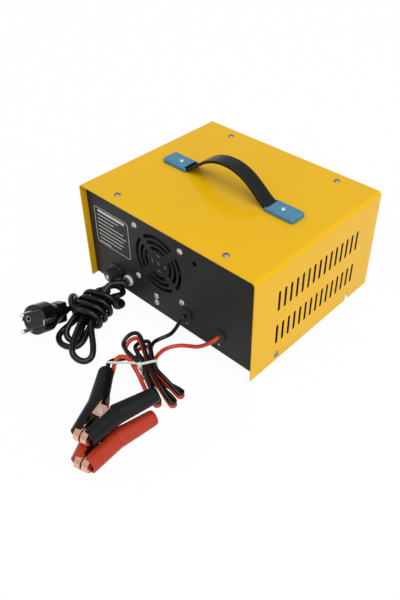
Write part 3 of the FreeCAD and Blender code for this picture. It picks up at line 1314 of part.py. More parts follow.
def cable_tie():
    # drawn with the hank along X: a band, its head and the long free tail
    half = LEAD_PITCH + LEAD_RADIUS + 0.5
    low = 0.1 + TIE_THICK
    high = LEAD_UPPER + WAIST_RISE + LEAD_RADIUS + 0.5
    outer = box(-TIE_WIDTH / 2, TIE_WIDTH / 2, -half - TIE_THICK, half + TIE_THICK, 0.1, high + TIE_THICK)
    outer = rounded(outer, 2.6, 0)
    inner = box(-TIE_WIDTH, TIE_WIDTH, -half, half, low, high)
    band = outer.cut(rounded(inner, 1.4, 0))
    head = middle_box(0, -half - 2.3, high - 0.8, 4.6, 4.0, 4.6)
    body = band.fuse(head)
    flat = [(-half - out, high + rise) for out, rise in TIE_END]
    for (y0, z0), (y1, z1) in zip(flat, flat[1:]):
        strip = [(-TIE_WIDTH / 2, y0 + 0.2, z0), (-TIE_WIDTH / 2, y1 - 0.2, z1),
                 (-TIE_WIDTH / 2, y1 - 0.2, z1 + TIE_TAIL), (-TIE_WIDTH / 2, y0 + 0.2, z0 + TIE_TAIL)]
        body = body.fuse(prism(strip, (TIE_WIDTH, 0, 0)))
    body = body.removeSplitter()
    body.rotate(vec(0, 0, 0), vec(0, 0, 1), LEADS_HANK["heading"])
    body.translate(vec(LEADS_HANK["x"], LEADS_HANK["y"], 0))
    return body


# Build

def build():
    os.makedirs("parts", exist_ok=True)
    save("top_cover", top_cover())
    save("chassis", chassis())
    save("case_screws", case_screws())
    save("handle_strap", handle_strap())
    save("handle_caps", handle_caps())
    save("handle_screws", handle_screws())
    save("fan_frame", fan_frame())
    save("fan_stator", fan_stator())
    save("fan_rotor", fan_rotor())
    save("panel_screws", panel_screws())
    save("terminal_bracket", terminal_bracket())
    save("fuse_holder", fuse_holder())
    save("fuse_holder_nut", fuse_holder_nut())
    save("fuse_cap", fuse_cap())
    save("fuse_link", fuse_link())
    save("mains_gland", mains_gland())
    save("lead_grommets", lead_grommets())
    save("feet", feet())
    save("transformer_core", transformer_core())
    save("transformer_bobbin", transformer_bobbin())
    save("transformer_windings", transformer_windings())
    save("transformer_frame", transformer_frame())
    save("transformer_bolts", transformer_bolts())
    save("heat_sink", heat_sink())
    save("rectifier", [rectifier(), rectifier_screw()])
    save("control_board", control_board())
    save("board_standoffs", board_standoffs())
    save("board_parts", board_parts())
    save("front_fascia", front_fascia())
    save("meter_case", meter_case())
    save("meter_window", meter_window())
    save("meter_needle", meter_needle())
    save("switch_bodies", [rocker_housing(POWER_ROCKER_X), rocker_housing(VOLTAGE_ROCKER_X), charge_switch()])
    save("power_rocker", rocker(POWER_ROCKER_X))
    save("voltage_rocker", rocker(VOLTAGE_ROCKER_X))
    save("charge_knob", [charge_knob(), charge_spindle()])
    save("indicator_lamps", indicator_lamps())
    save("inner_wires", inner_wires())

    free, hank, wraps, tail = stretches(MAINS_FREE, mains_hank_route()[:-1], mains_wrap_route(), mains_tail_route())
    save("mains_lead", tube("mains lead", free, MAINS_RADIUS))
    save("mains_lead_hank", tube("mains hank", hank, MAINS_RADIUS))
    save("mains_lead_wraps", tube("mains wraps", wraps, MAINS_RADIUS))
    save("mains_lead_tail", tube("mains tail", tail, MAINS_RADIUS))
    save("plug_body", plug_body())
    save("plug_pins", plug_pins())
    least_gap("mains hank", hank, MAINS_RADIUS)
    least_gap("mains wraps", wraps, MAINS_RADIUS)
    gap_between("mains wraps to hank", wraps[3:], MAINS_RADIUS, hank[:-3], MAINS_RADIUS)

    black_end = BLACK_ARCH + cord_entry(BLACK_CLAMP)
    red_end = RED_ARCH + cord_entry(RED_CLAMP)
    black_free, black, black_tail = stretches(BLACK_FREE, leads_hank_route(0.0, 0.0), black_end)
    red_free, red, red_tail = stretches(RED_FREE, leads_hank_route(RED_DROP, RED_INSET)[:-3], red_end)
    save("black_lead", tube("black lead", black_free, LEAD_RADIUS))
    save("black_lead_hank", tube("black hank", black, LEAD_RADIUS))
    save("black_lead_tail", tube("black tail", black_tail, LEAD_RADIUS))
    save("red_lead", tube("red lead", red_free, LEAD_RADIUS))
    save("red_lead_hank", tube("red hank", red, LEAD_RADIUS))
    save("red_lead_tail", tube("red tail", red_tail, LEAD_RADIUS))
    least_gap("black hank", black, LEAD_RADIUS)
    least_gap("red hank", red, LEAD_RADIUS)
    gap_between("black hank to red hank", black, LEAD_RADIUS, red, LEAD_RADIUS)
    gap_between("black tail to red tail", black_tail, LEAD_RADIUS, red_tail, LEAD_RADIUS)
    save("cable_tie", cable_tie())

    fixed, fixed_handle, fixed_jaw = clamp_half(-1, FIXED_EAR, 8.2)
    moving, moving_handle, moving_jaw = clamp_half(1, MOVING_EAR, 6.4)
    pair = (BLACK_CLAMP, RED_CLAMP)
    save("clamp_levers", [place_clamp(fixed, clamp) for clamp in pair])
    save("clamp_pins", [place_clamp(clamp_pin(), clamp) for clamp in pair])
    save("clamp_springs", [place_clamp(clamp_spring(), clamp) for clamp in pair])
    for name, clamp in (("black", BLACK_CLAMP), ("red", RED_CLAMP)):
        save(name + "_clamp_sleeves", [place_clamp(fixed_handle, clamp), place_clamp(fixed_jaw, clamp)])
        save(name + "_moving_lever", place_clamp(moving, clamp))
        save(name + "_moving_sleeves", [place_clamp(moving_handle, clamp), place_clamp(moving_jaw, clamp)])


build()
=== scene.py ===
# %% [markdown]
# A battery charger for the garage: a steel case with a carrying strap, a mains lead folded in a hank, and two
# battery leads that end in clamps. The solid model comes from the CAD step. This script dresses it: it lights it,
# lays the cords, rounds the edges and gives each piece the finish of the real one. Everything is in metres.

# %% Load the solid model
import json
from math import cos, pi, radians, sin

import bmesh
import bpy
from mathutils import Matrix, Vector

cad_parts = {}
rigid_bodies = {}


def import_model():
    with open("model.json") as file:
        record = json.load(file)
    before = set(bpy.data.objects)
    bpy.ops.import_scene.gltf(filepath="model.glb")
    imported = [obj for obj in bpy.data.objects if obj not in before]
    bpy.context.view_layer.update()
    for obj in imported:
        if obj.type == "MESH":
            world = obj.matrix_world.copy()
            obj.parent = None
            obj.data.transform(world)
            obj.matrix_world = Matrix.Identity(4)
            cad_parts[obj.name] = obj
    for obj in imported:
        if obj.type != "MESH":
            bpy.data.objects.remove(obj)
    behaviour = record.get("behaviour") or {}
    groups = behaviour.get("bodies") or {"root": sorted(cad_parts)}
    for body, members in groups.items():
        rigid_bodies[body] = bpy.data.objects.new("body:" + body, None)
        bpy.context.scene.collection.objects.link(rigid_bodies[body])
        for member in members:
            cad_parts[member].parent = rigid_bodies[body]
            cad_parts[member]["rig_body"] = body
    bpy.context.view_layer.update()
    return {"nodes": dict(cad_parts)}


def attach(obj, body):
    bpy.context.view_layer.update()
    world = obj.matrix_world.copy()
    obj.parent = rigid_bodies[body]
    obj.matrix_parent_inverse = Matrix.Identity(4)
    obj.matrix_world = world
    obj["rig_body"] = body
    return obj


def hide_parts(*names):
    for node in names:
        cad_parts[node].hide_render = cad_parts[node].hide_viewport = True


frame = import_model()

mm = 0.001
nodes = frame["nodes"]

# %% [markdown]
# The photograph looks down on the rear panel and one slotted side. The camera stands where the lines of the case
# meet as they do in the picture. The shift moves the picture's middle without turning the camera, so upright edges
# keep their slant. The camera's axes are written straight into its matrix: right, up and back.

# %% Camera
CAMERA_PLACE = Vector((-0.41646, 0.47379, 0.52651))
AZIMUTH, ELEVATION = radians(222.83), radians(38.87)
LENS, SENSOR_WIDTH = 38.87, 36.0
SHIFT = (-0.0237, -0.0500)

camera = bpy.data.objects.new("camera", bpy.data.cameras.new("camera"))
bpy.context.scene.collection.objects.link(camera)
camera.data.lens = LENS
camera.data.sensor_width = SENSOR_WIDTH
camera.data.shift_x, camera.data.shift_y = SHIFT
camera.data.clip_start = 0.01
right = Vector((cos(AZIMUTH), sin(AZIMUTH), 0.0))
up = Vector((-sin(AZIMUTH) * sin(ELEVATION), cos(AZIMUTH) * sin(ELEVATION), cos(ELEVATION)))
back = right.cross(up)
camera.matrix_world = Matrix.Translation(CAMERA_PLACE) @ Matrix((right, up, back)).transposed().to_4x4()
bpy.context.scene.camera = camera
print("camera looks along", [round(-v, 3) for v in back])

# %% [markdown]
# A cord is one smooth spline. Its control points are the points of the CAD route, so the tube lies where the solid
# lies. The two hanks have the same formulas as the CAD: hank_point puts a point along and across the hank, and
# lobe gives the corners of one loop outside the waist. Sizes here are in millimetres, as in the CAD.
#
# A long loop of the battery leads has an angle to the hank and a reach from its waist. A short loop has an angle, a
# reach and half its width, and its SHORT_FALLS say how far each corner of it hangs below the strand it starts from.

# %% Hanks and routes
MAINS_RADIUS, LEAD_RADIUS = 3.5, 2.3
PANEL_Y, GLAND_X, BLACK_X, RED_X = 102.5, 67.0, -30.4, -81.0
GLAND_Z, BLACK_Z, RED_Z = 27.0, 31.4, 31.2
MAINS_HANK = {"x": GLAND_X + 3.0, "y": PANEL_Y + 54.5, "heading": 107.5, "waist": 22.0}
LEADS_HANK = {"x": BLACK_X - 16.8, "y": PANEL_Y + 74.0, "heading": 150.0, "waist": 9.0}
STRAND_PITCH, UPPER_STRAND, LOWER_STRAND = 9.6, 19.2, 11.6
WRAP_PITCH, WRAP_COUNT = 11.0, 3
LEAD_PITCH, LEAD_UPPER, LEAD_LOWER, WAIST_RISE = 5.1, 18.8, 8.0, 1.7
RED_DROP, RED_INSET = 5.4, 3.0
LONG_LOOPS = ((-35.0, 35.0), (-20.5, 40.5), (-6.5, 33.0))
SHORT_LOOPS = ((4.6, 35.6, 9.5), (12.3, 43.2, 11.5))
SHORT_FALLS = ((6.5, 9.5, 10.6, 10.8), (-0.6, -0.2, 5.0, 8.8))
LOOP_TIP, HALF_WAY, HALF_SPREAD = 3.05, 15.0, 2.2


def hank_point(hank, u, w, z):
    """The point u along the heading of the hank and w across it, at the height z."""
    c, s = cos(radians(hank["heading"])), sin(radians(hank["heading"]))
    return (hank["x"] + u * c + w * s, hank["y"] + u * s - w * c, z)


def lobe(hank, end, angle, reach, half, start, finish, heights):
    """One loop past the waist, at the hank's front (end = 1) or back (end = -1).

    The strand comes at start, goes on at finish, both across the hank, and turns half wide at a height per corner."""
    t = radians(angle)
    along = (end * cos(t), sin(t))
    across = (-along[1], along[0])
    side = 1.0 if (start - finish) * across[1] >= 0 else -1.0
    centre_u = end * hank["waist"] + along[0] * (reach - half)
    centre_w = (start + finish) / 2 + along[1] * (reach - half)
    corner = half / cos(radians(22.5))
    points = []
    for k, z in enumerate(heights):
        turn = radians(45.0 * k - 67.5)
        ahead, aside = corner * cos(turn), -side * corner * sin(turn)
        points.append(hank_point(hank, centre_u + along[0] * ahead + across[0] * aside,
                                 centre_w + along[1] * ahead + across[1] * aside, z))
    return points


def pass_waist(hank, w, z, end, sag=0.3):
    """A strand through the waist towards one end, a little lower in the middle where the wraps press on it."""
    reach = end * hank["waist"]
    return [hank_point(hank, -reach, w, z), hank_point(hank, 0.0, w, z - sag), hank_point(hank, reach, w, z)]


def mains_hank_route():
    p, high, low, floor = STRAND_PITCH, UPPER_STRAND, LOWER_STRAND, MAINS_RADIUS + 0.15
    route = pass_waist(MAINS_HANK, 0, high, 1)
    route += lobe(MAINS_HANK, 1, -28, 53, 13.2, 0, -p, (15.5, 7.0, floor, 9.0))
    route += pass_waist(MAINS_HANK, -p, high, -1)
    route += lobe(MAINS_HANK, -1, -30, 24.5, 11.0, -p, p, (17.5, 15.5, 15.5, 18.0))
    route += pass_waist(MAINS_HANK, p, high, 1)
    route += lobe(MAINS_HANK, 1, -9, 25, 8.2, p, 0, (12.0, 5.5, floor, 4.0))
    route += pass_waist(MAINS_HANK, 0, low, -1)
    route += lobe(MAINS_HANK, -1, 28, 25, 7.5, 0, p, (6.0, 3.6, 3.6, 6.0))
    route += pass_waist(MAINS_HANK, p, low, 1)
    route += lobe(MAINS_HANK, 1, 6, 34.5, 17.5, p, -p, (5.0, floor, floor, 4.0))
    return route + pass_waist(MAINS_HANK, -p, low, -1)[:-1]


def mains_wrap_route():
    side, lean = 2 * STRAND_PITCH + 0.1, STRAND_PITCH + 3.4
    ring = [(-side, -5.2), (-side, 5.2), (-lean, 11.8), (0.0, 12.3), (lean, 11.8),
            (side, 5.2), (side, -5.2), (lean, -11.4), (0.0, -11.5), (-lean, -11.4)]
    start = ((-22, -STRAND_PITCH, LOWER_STRAND), (-29.5, -11.5, 8.3), (-31.5, -18.5, 7.3), (-26, -23.5, 7.6))
    route = [hank_point(MAINS_HANK, u, w, z) for u, w, z in start]
    for k in range(WRAP_COUNT * len(ring) + 4):
        w, z = ring[k % len(ring)]
        route.append(hank_point(MAINS_HANK, -17 + WRAP_PITCH * k / len(ring), w, MAINS_RADIUS + 11.7 + z))
    return route


def leads_hank_route(drop, inset):
    high, low = LEAD_UPPER - drop, LEAD_LOWER - drop
    tied_high, tied_low = high + WAIST_RISE, low + WAIST_RISE
    waist = LEADS_HANK["waist"]
    route = []
    for k, (angle, reach) in enumerate(LONG_LOOPS):
        w = LEAD_PITCH * (k - 1)
        half_u, half_w = waist + HALF_WAY * cos(radians(angle)), w + HALF_WAY * sin(radians(angle))
        route += [hank_point(LEADS_HANK, -waist, w, tied_low), hank_point(LEADS_HANK, waist, w, tied_low)]
        route.append(hank_point(LEADS_HANK, half_u, half_w - HALF_SPREAD, low - 0.1))
        route += lobe(LEADS_HANK, 1, angle, reach, LOOP_TIP, w - 1, w + 1, (low, low, low + 0.3, low + 1.6))
        route.append(hank_point(LEADS_HANK, half_u, half_w + HALF_SPREAD, high))
        route += [hank_point(LEADS_HANK, waist, w, tied_high + 0.1), hank_point(LEADS_HANK, -waist, w, tied_high)]
        if k < len(SHORT_LOOPS):
            turn, far, half = SHORT_LOOPS[k]
            route += lobe(LEADS_HANK, -1, turn, far - inset, half - inset / 2, w, w + LEAD_PITCH,
                          [tied_high - fall for fall in SHORT_FALLS[k]])
    return route


print("mains hank", len(mains_hank_route()), "points; wraps", len(mains_wrap_route()), "points")

# %% [markdown]
# The plug and the clamps are solids and stay where they are. Their places are needed here only because the cords run
# up to them: plug_point steps back from the face of the plug along its axis, and clamp_point goes along a clamp, with
# u towards the jaws and v across, both from its pin. cord_entry gives the last stretch into the end of a handle.

# %% Where the plug and the clamps lie
PLUG_FACE = Vector((GLAND_X + 20.8, PANEL_Y + 121.8, 31.2))
PLUG_HEADING, PLUG_TILT = radians(100.6), radians(24.0)
RELIEF_END = 52.5
CLAMP_HANDLE, CLAMP_JAW, CLAMP_SPREAD, CLAMP_SEAM, SEAM_SIDE = 45.0, 34.0, 29.0, -9.5, 11.6
ENTRY_REACHES = (11.0, 4.0)
RED_CLAMP = {"tip": (BLACK_X - 58.8, PANEL_Y + 200.0), "heading": 106.4, "z": 10.5}
BLACK_CLAMP = {"tip": (BLACK_X - 48.0, PANEL_Y + 189.4), "heading": 103.0, "z": 31.8}

plug_ahead = Vector((cos(PLUG_HEADING) * cos(PLUG_TILT), sin(PLUG_HEADING) * cos(PLUG_TILT), sin(PLUG_TILT)))


def plug_point(back_mm):
    return tuple(PLUG_FACE - plug_ahead * back_mm)


def clamp_point(clamp, u, v, z=0.0):
    t = radians(clamp["heading"])
    x = clamp["tip"][0] + (u - CLAMP_JAW) * cos(t) - v * sin(t)
    y = clamp["tip"][1] + (u - CLAMP_JAW) * sin(t) + v * cos(t)
    return Vector((x, y, clamp["z"] + z))


def cord_entry(clamp):
    end, seam = clamp_point(clamp, -CLAMP_HANDLE, -CLAMP_SPREAD), clamp_point(clamp, CLAMP_SEAM, -SEAM_SIDE)
    away = (end - seam).normalized()
    return [tuple(end + away * reach) for reach in ENTRY_REACHES]


print("the mains lead ends at", [round(v, 1) for v in plug_point(RELIEF_END)])
for clamp in (RED_CLAMP, BLACK_CLAMP):
    print("the pin of a clamp stands at", [round(v, 1) for v in clamp_point(clamp, 0, 0)])

# %% [markdown]
# Between the panel, the hank and the plug or clamp a lead lies free. Its points are given beside the place where it
# leaves the panel, or along and across its hank, whichever says better how it lies.

# %% Free stretches of the leads


def beside(x, places):
    return [(x + dx, PANEL_Y + dy, z) for dx, dy, z in places]


mains_free = beside(GLAND_X, [(0, 3.5, GLAND_Z), (0, 8.5, GLAND_Z), (5.5, 14.5, 27.6), (10.6, 21.0, 27.4),
                              (11.3, 27.5, 24.5)])
mains_tail = [hank_point(MAINS_HANK, u, w, z) for u, w, z in
              ((21.8, 9.0, 28.3), (17.5, 16.8, 30.2), (9.5, 23.2, 29.2), (1.5, 27.4, 25.6), (-4.6, 29.2, 19.8),
               (-6.6, 29.8, 12.4), (-4.3, 30.0, 6.9))]
mains_tail += [plug_point(RELIEF_END + 11.5), plug_point(RELIEF_END)]
black_free = beside(BLACK_X, [(0, 2.5, BLACK_Z), (0, 7.5, BLACK_Z), (2.4, 10.0, 24.0), (6.4, 12.0, 14.0),
                              (10.0, 17.0, 5.5), (15.9, 27.0, 2.8), (17.9, 37.5, 2.8), (10.9, 48.0, 3.5),
                              (-0.6, 58.0, 6.5)])
red_free = beside(RED_X, [(0, 2.5, RED_Z), (0, 7.5, RED_Z), (5.0, 11.0, 25.5), (13.0, 12.0, 17.0), (23.5, 12.3, 7.5),
                          (34.5, 14.0, 2.9), (44.5, 21.0, 2.5), (51.5, 34.5, 2.5), (50.5, 47.0, 2.6),
                          (46.0, 57.5, 3.0)])
black_arch = [hank_point(LEADS_HANK, -14.0, 9.5, 20.4), hank_point(LEADS_HANK, -16.8, 17.0, 19.6)]
black_arch += beside(BLACK_X, [(9.4, 87.5, 20.5), (11.8, 96.5, 24.5), (9.1, 105.3, 30.2)])
red_arch = [hank_point(LEADS_HANK, 25.0, 8.6, 6.0), hank_point(LEADS_HANK, 13.0, 11.0, 9.5),
            hank_point(LEADS_HANK, 3.5, 12.5, 13.2), hank_point(LEADS_HANK, -3.0, 15.6, 18.8)]
red_arch += beside(BLACK_X, [(-2.6, 85.9, 24.6), (2.8, 88.1, 28.8), (6.4, 92.7, 30.8), (6.4, 98.3, 31.0),
                             (3.2, 104.3, 27.5), (1.8, 108.0, 20.5), (2.2, 113.0, 14.0)])
print("points before the hanks", len(mains_free), len(black_free), len(red_free),
      "and after them", len(mains_tail), len(black_arch), len(red_arch))

# %% [markdown]
# The mains lead is black flexible plastic, 7 mm thick, and the battery leads are 4.6 mm. Each lead is one spline
# from the panel to its plug or clamp: a curve with a round bevel is quicker to make and smoother than a mesh tube.

# %% Cords


def cord_curve(name, route, radius):
    data = bpy.data.curves.new(name, "CURVE")
    data.dimensions = "3D"
    spline = data.splines.new("NURBS")
    spline.points.add(len(route) - 1)
    for point, place in zip(spline.points, route):
        point.co = (place[0] * mm, place[1] * mm, place[2] * mm, 1.0)
    spline.order_u = 3
    spline.use_endpoint_u = True
    spline.resolution_u = 8
    data.bevel_depth = radius * mm
    data.bevel_resolution = 6
    data.use_fill_caps = True
    obj = bpy.data.objects.new(name, data)
    bpy.context.scene.collection.objects.link(obj)
    return obj


mains_route = mains_free + mains_hank_route() + mains_wrap_route() + mains_tail
black_route = black_free + leads_hank_route(0.0, 0.0) + black_arch + cord_entry(BLACK_CLAMP)
# the red lead leaves its hank earlier than the black one, before its last pass through the waist
red_hank = leads_hank_route(RED_DROP, RED_INSET)[:-3]
red_route = red_free + red_hank + red_arch + cord_entry(RED_CLAMP)
mains_cord = cord_curve("mains_cord", mains_route, MAINS_RADIUS)
black_cord = cord_curve("black_cord", black_route, LEAD_RADIUS)
red_cord = cord_curve("red_cord", red_route, LEAD_RADIUS)


def curve_length(cord):
    plain = cord.copy()
    plain.data = cord.data.copy()
    plain.data.bevel_depth = 0.0
    bpy.context.scene.collection.objects.link(plain)
    mesh = bpy.data.meshes.new_from_object(plain.evaluated_get(bpy.context.evaluated_depsgraph_get()))
    length = sum((mesh.vertices[e.vertices[0]].co - mesh.vertices[e.vertices[1]].co).length for e in mesh.edges)
    bpy.data.objects.remove(plain)
    bpy.data.meshes.remove(mesh)
    return length


bpy.context.view_layer.update()
cord_lengths = {cord.name: curve_length(cord) for cord in (mains_cord, black_cord, red_cord)}
print("cord lengths in metres", {name: round(length, 3) for name, length in cord_lengths.items()})

# %% [markdown]
# A finish is a small node tree. Real surfaces are never one even tone: paint has a faint orange peel, plastic has
# cloudy gloss, plating is streaked. So each finish mixes two near colours with noise, varies its roughness, and has
# a fine bump. Everything reads Object coordinates, which stay on the piece when it moves.

# %% A finish as a node tree
RELIEF_DEPTH, COAT_ROUGHNESS = 0.2 * mm, 0.05


def finish(name, dark, light, rough, metal=0.0, cloud=40.0, grain=900.0, bump=0.05, coat=0.0,
           stretch=(1.0, 1.0, 1.0), specular=0.5):
    """dark and light are the two colours that the clouds mix, rough the least and the greatest roughness.

    cloud and grain are the scales of the two noises, bump the strength of the grain, and stretch draws both out."""
    material = bpy.data.materials.new(name)
    material.use_nodes = True
    tree = material.node_tree
    shader = tree.nodes["Principled BSDF"]
    place = tree.nodes.new("ShaderNodeTexCoord")
    scale = tree.nodes.new("ShaderNodeMapping")
    scale.inputs["Scale"].default_value = stretch
    tree.links.new(place.outputs["Object"], scale.inputs["Vector"])
    clouds = tree.nodes.new("ShaderNodeTexNoise")
    clouds.inputs["Scale"].default_value = cloud
    clouds.inputs["Detail"].default_value = 4.0
    grains = tree.nodes.new("ShaderNodeTexNoise")
    grains.inputs["Scale"].default_value = grain
    grains.inputs["Detail"].default_value = 2.0
    for noise in (clouds, grains):
        tree.links.new(scale.outputs["Vector"], noise.inputs["Vector"])
    colour = tree.nodes.new("ShaderNodeMix")
    colour.data_type = "RGBA"
    colour.inputs["A"].default_value = (*dark, 1.0)
    colour.inputs["B"].default_value = (*light, 1.0)
    tree.links.new(clouds.outputs["Fac"], colour.inputs["Factor"])
    tree.links.new(colour.outputs["Result"], shader.inputs["Base Color"])
    gloss = tree.nodes.new("ShaderNodeMapRange")
    gloss.inputs["To Min"].default_value = rough[0]
    gloss.inputs["To Max"].default_value = rough[1]
    tree.links.new(clouds.outputs["Fac"], gloss.inputs["Value"])
    tree.links.new(gloss.outputs["Result"], shader.inputs["Roughness"])
    relief = tree.nodes.new("ShaderNodeBump")
    relief.inputs["Strength"].default_value = bump
    relief.inputs["Distance"].default_value = RELIEF_DEPTH
    tree.links.new(grains.outputs["Fac"], relief.inputs["Height"])
    tree.links.new(relief.outputs["Normal"], shader.inputs["Normal"])
    shader.inputs["Metallic"].default_value = metal
    shader.inputs["Specular IOR Level"].default_value = specular
    shader.inputs["Coat Weight"].default_value = coat
    shader.inputs["Coat Roughness"].default_value = COAT_ROUGHNESS
    return material


def add_math(tree, operation, first, second=None, clamp=False):
    """A Math node; first and second are sockets or plain numbers."""
    node = tree.nodes.new("ShaderNodeMath")
    node.operation = operation
    node.use_clamp = clamp
    for socket, value in zip(node.inputs, (first, second)):
        if value is None:
            continue
        if isinstance(value, (int, float)):
            socket.default_value = value
        else:
            tree.links.new(value, socket)
    return node.outputs["Value"]


def pressed_lines(material, middle, reach, width):
    """Two fine grooves along X, each reach away from the middle: the pressed edge lines of the strap."""
    tree = material.node_tree
    place = next(node for node in tree.nodes if node.bl_idname == "ShaderNodeTexCoord")
    relief = next(node for node in tree.nodes if node.bl_idname == "ShaderNodeBump")
    grains = relief.inputs["Height"].links[0].from_socket
    split = tree.nodes.new("ShaderNodeSeparateXYZ")
    tree.links.new(place.outputs["Object"], split.inputs["Vector"])
    across = add_math(tree, "ABSOLUTE", add_math(tree, "SUBTRACT", split.outputs["Y"], middle))
    off_line = add_math(tree, "ABSOLUTE", add_math(tree, "SUBTRACT", across, reach))
    depth = add_math(tree, "DIVIDE", off_line, width, clamp=True)
    height = add_math(tree, "ADD", add_math(tree, "MULTIPLY", grains, 0.15), depth)
    tree.links.new(height, relief.inputs["Height"])
    relief.inputs["Strength"].default_value = 0.9
    relief.inputs["Distance"].default_value = 2 * RELIEF_DEPTH


# %% [markdown]
# The finishes that show in the picture come first. The enamel of the cover is smooth and shines a little, that of the
# chassis is fine grained and dull. The sleeves of the clamps are rougher than the leads, and duller.

# %% Finishes of the case, the leads and the clamps
yellow_enamel = finish("yellow_enamel", (0.78, 0.440, 0.004), (0.83, 0.475, 0.007), (0.12, 0.20), cloud=18, grain=200,
                       bump=0.02, specular=0.17)
black_enamel = finish("black_enamel", (0.010, 0.0105, 0.0105), (0.015, 0.0155, 0.0155), (0.46, 0.56), grain=2400,
                      bump=0.25, specular=0.3)
dull_plating = finish("dull_plating", (0.22, 0.22, 0.21), (0.44, 0.43, 0.41), (0.36, 0.52), metal=1.0, cloud=420)
bright_plating = finish("bright_plating", (0.60, 0.60, 0.58), (0.78, 0.77, 0.74), (0.18, 0.34), metal=1.0, cloud=260)
lead_plastic = finish("lead_plastic", (0.003, 0.003, 0.0035), (0.006, 0.006, 0.007), (0.12, 0.20), cloud=90,
                      grain=1600, bump=0.04, specular=0.35)
red_plastic = finish("red_plastic", (0.54, 0.044, 0.016), (0.64, 0.062, 0.024), (0.20, 0.30), cloud=90, grain=1600,
                     bump=0.06, specular=0.35)
sleeve_black = finish("sleeve_black", (0.003, 0.0035, 0.0035), (0.006, 0.007, 0.007), (0.28, 0.42), cloud=120,
                      grain=1300, bump=0.20, specular=0.21)
sleeve_red = finish("sleeve_red", (0.38, 0.026, 0.009), (0.50, 0.044, 0.015), (0.28, 0.40), cloud=120, grain=1300,
                    bump=0.20, specular=0.3)
strap_vinyl = finish("strap_vinyl", (0.005, 0.005, 0.006), (0.010, 0.010, 0.011), (0.26, 0.36), cloud=70, grain=1500,
                     bump=0.35, specular=0.22)
pressed_lines(strap_vinyl, middle=-1.0 * mm, reach=7.4 * mm, width=0.5 * mm)
# Painted shade: a dark paint for the cover's inside, standing for the shade within the case
bare_primer = finish("bare_primer", (0.010, 0.009, 0.008), (0.016, 0.014, 0.012), (0.5, 0.7), cloud=60, specular=0.2)
cap_blue = finish("cap_blue", (0.012, 0.13, 0.30), (0.10, 0.30, 0.41), (0.30, 0.48), cloud=200, grain=700, bump=0.30)
# Painted shade: a dark copper for the webs between the jaws, where shade falls
dark_copper = finish("dark_copper", (0.022, 0.010, 0.007), (0.065, 0.026, 0.018), (0.4, 0.6), metal=0.8,
                     cloud=180)
copper_plate = finish("copper_plate", (0.80, 0.42, 0.30), (0.92, 0.58, 0.45), (0.20, 0.38), metal=1.0, cloud=180)
cream_nylon = finish("cream_nylon", (0.62, 0.56, 0.42), (0.72, 0.66, 0.52), (0.35, 0.5), cloud=160)
gland_grey = finish("gland_grey", (0.60, 0.59, 0.55), (0.70, 0.69, 0.65), (0.35, 0.5), cloud=160)
white_nylon = finish("white_nylon", (0.74, 0.74, 0.70), (0.84, 0.84, 0.80), (0.3, 0.45), cloud=160)
dark_plastic = finish("dark_plastic", (0.010, 0.010, 0.011), (0.018, 0.018, 0.019), (0.38, 0.5), grain=1800, bump=0.2)
foot_rubber = finish("foot_rubber", (0.012, 0.012, 0.012), (0.024, 0.024, 0.024), (0.6, 0.75), grain=1500, bump=0.3)
nickel_plate = finish("nickel_plate", (0.62, 0.60, 0.56), (0.76, 0.74, 0.70), (0.14, 0.26), metal=1.0, cloud=220)
print("finishes made:", len(bpy.data.materials))

# %% [markdown]
# The rest is inside the case or on its front, which the picture doesn't show. The core of a transformer is a stack of
# thin sheets and its windings are rows of wire, so their noises are drawn out along one axis.

# %% Finishes of the inside and the front
laminations = finish("laminations", (0.10, 0.11, 0.13), (0.20, 0.21, 0.23), (0.35, 0.55), metal=0.8, cloud=30,
                     stretch=(1.0, 40.0, 1.0))
extruded_aluminium = finish("extruded_aluminium", (0.62, 0.63, 0.64), (0.74, 0.75, 0.76), (0.28, 0.42), metal=1.0,
                            stretch=(1.0, 1.0, 0.05), cloud=300)
wound_copper = finish("wound_copper", (0.42, 0.15, 0.07), (0.62, 0.26, 0.12), (0.25, 0.4), metal=1.0,
                      stretch=(1.0, 1.0, 30.0), cloud=60)
board_green = finish("board_green", (0.010, 0.10, 0.045), (0.020, 0.15, 0.07), (0.25, 0.4), cloud=90)
white_print = finish("white_print", (0.55, 0.56, 0.55), (0.72, 0.73, 0.71), (0.5, 0.65), cloud=500, grain=1500,
                     bump=0.1)
sticker_green = finish("sticker_green", (0.008, 0.060, 0.022), (0.30, 0.42, 0.34), (0.3, 0.45), cloud=420, bump=0.02)
amber_lens = finish("amber_lens", (0.70, 0.28, 0.01), (0.80, 0.36, 0.02), (0.1, 0.2), cloud=300, coat=0.6)
green_lens = finish("green_lens", (0.02, 0.32, 0.06), (0.04, 0.42, 0.09), (0.1, 0.2), cloud=300, coat=0.6)
red_lens = finish("red_lens", (0.50, 0.010, 0.008), (0.62, 0.016, 0.012), (0.1, 0.2), cloud=300, coat=0.6)
scale_paper = finish("scale_paper", (0.72, 0.72, 0.68), (0.80, 0.80, 0.76), (0.5, 0.6), cloud=200, bump=0.04)
clear_pane = finish("clear_pane", (0.92, 0.95, 0.95), (0.96, 0.98, 0.98), (0.02, 0.06), cloud=60, bump=0.01)
clear_pane.node_tree.nodes["Principled BSDF"].inputs["Transmission Weight"].default_value = 1.0
print("finishes made:", len(bpy.data.materials))

# %% [markdown]
# Every CAD node that shows gets the same care: a copy of its mesh is merged, its flat faces are joined, its edges
# are rounded a little, because no real edge is sharp, and it is shaded smooth between edges.

# %% Dress a CAD node


def add_piece(name, mesh, material, body, *replaced):
    mesh.materials.clear()
    mesh.materials.append(material)
    obj = bpy.data.objects.new(name, mesh)
    bpy.context.scene.collection.objects.link(obj)
    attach(obj, body)
    if replaced:
        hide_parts(*replaced)
    return obj


SHARP_ANGLE, FLAT_ANGLE = 32.0, 0.4
MERGE_DISTANCE, EDGE_STEPS = 0.002, 2


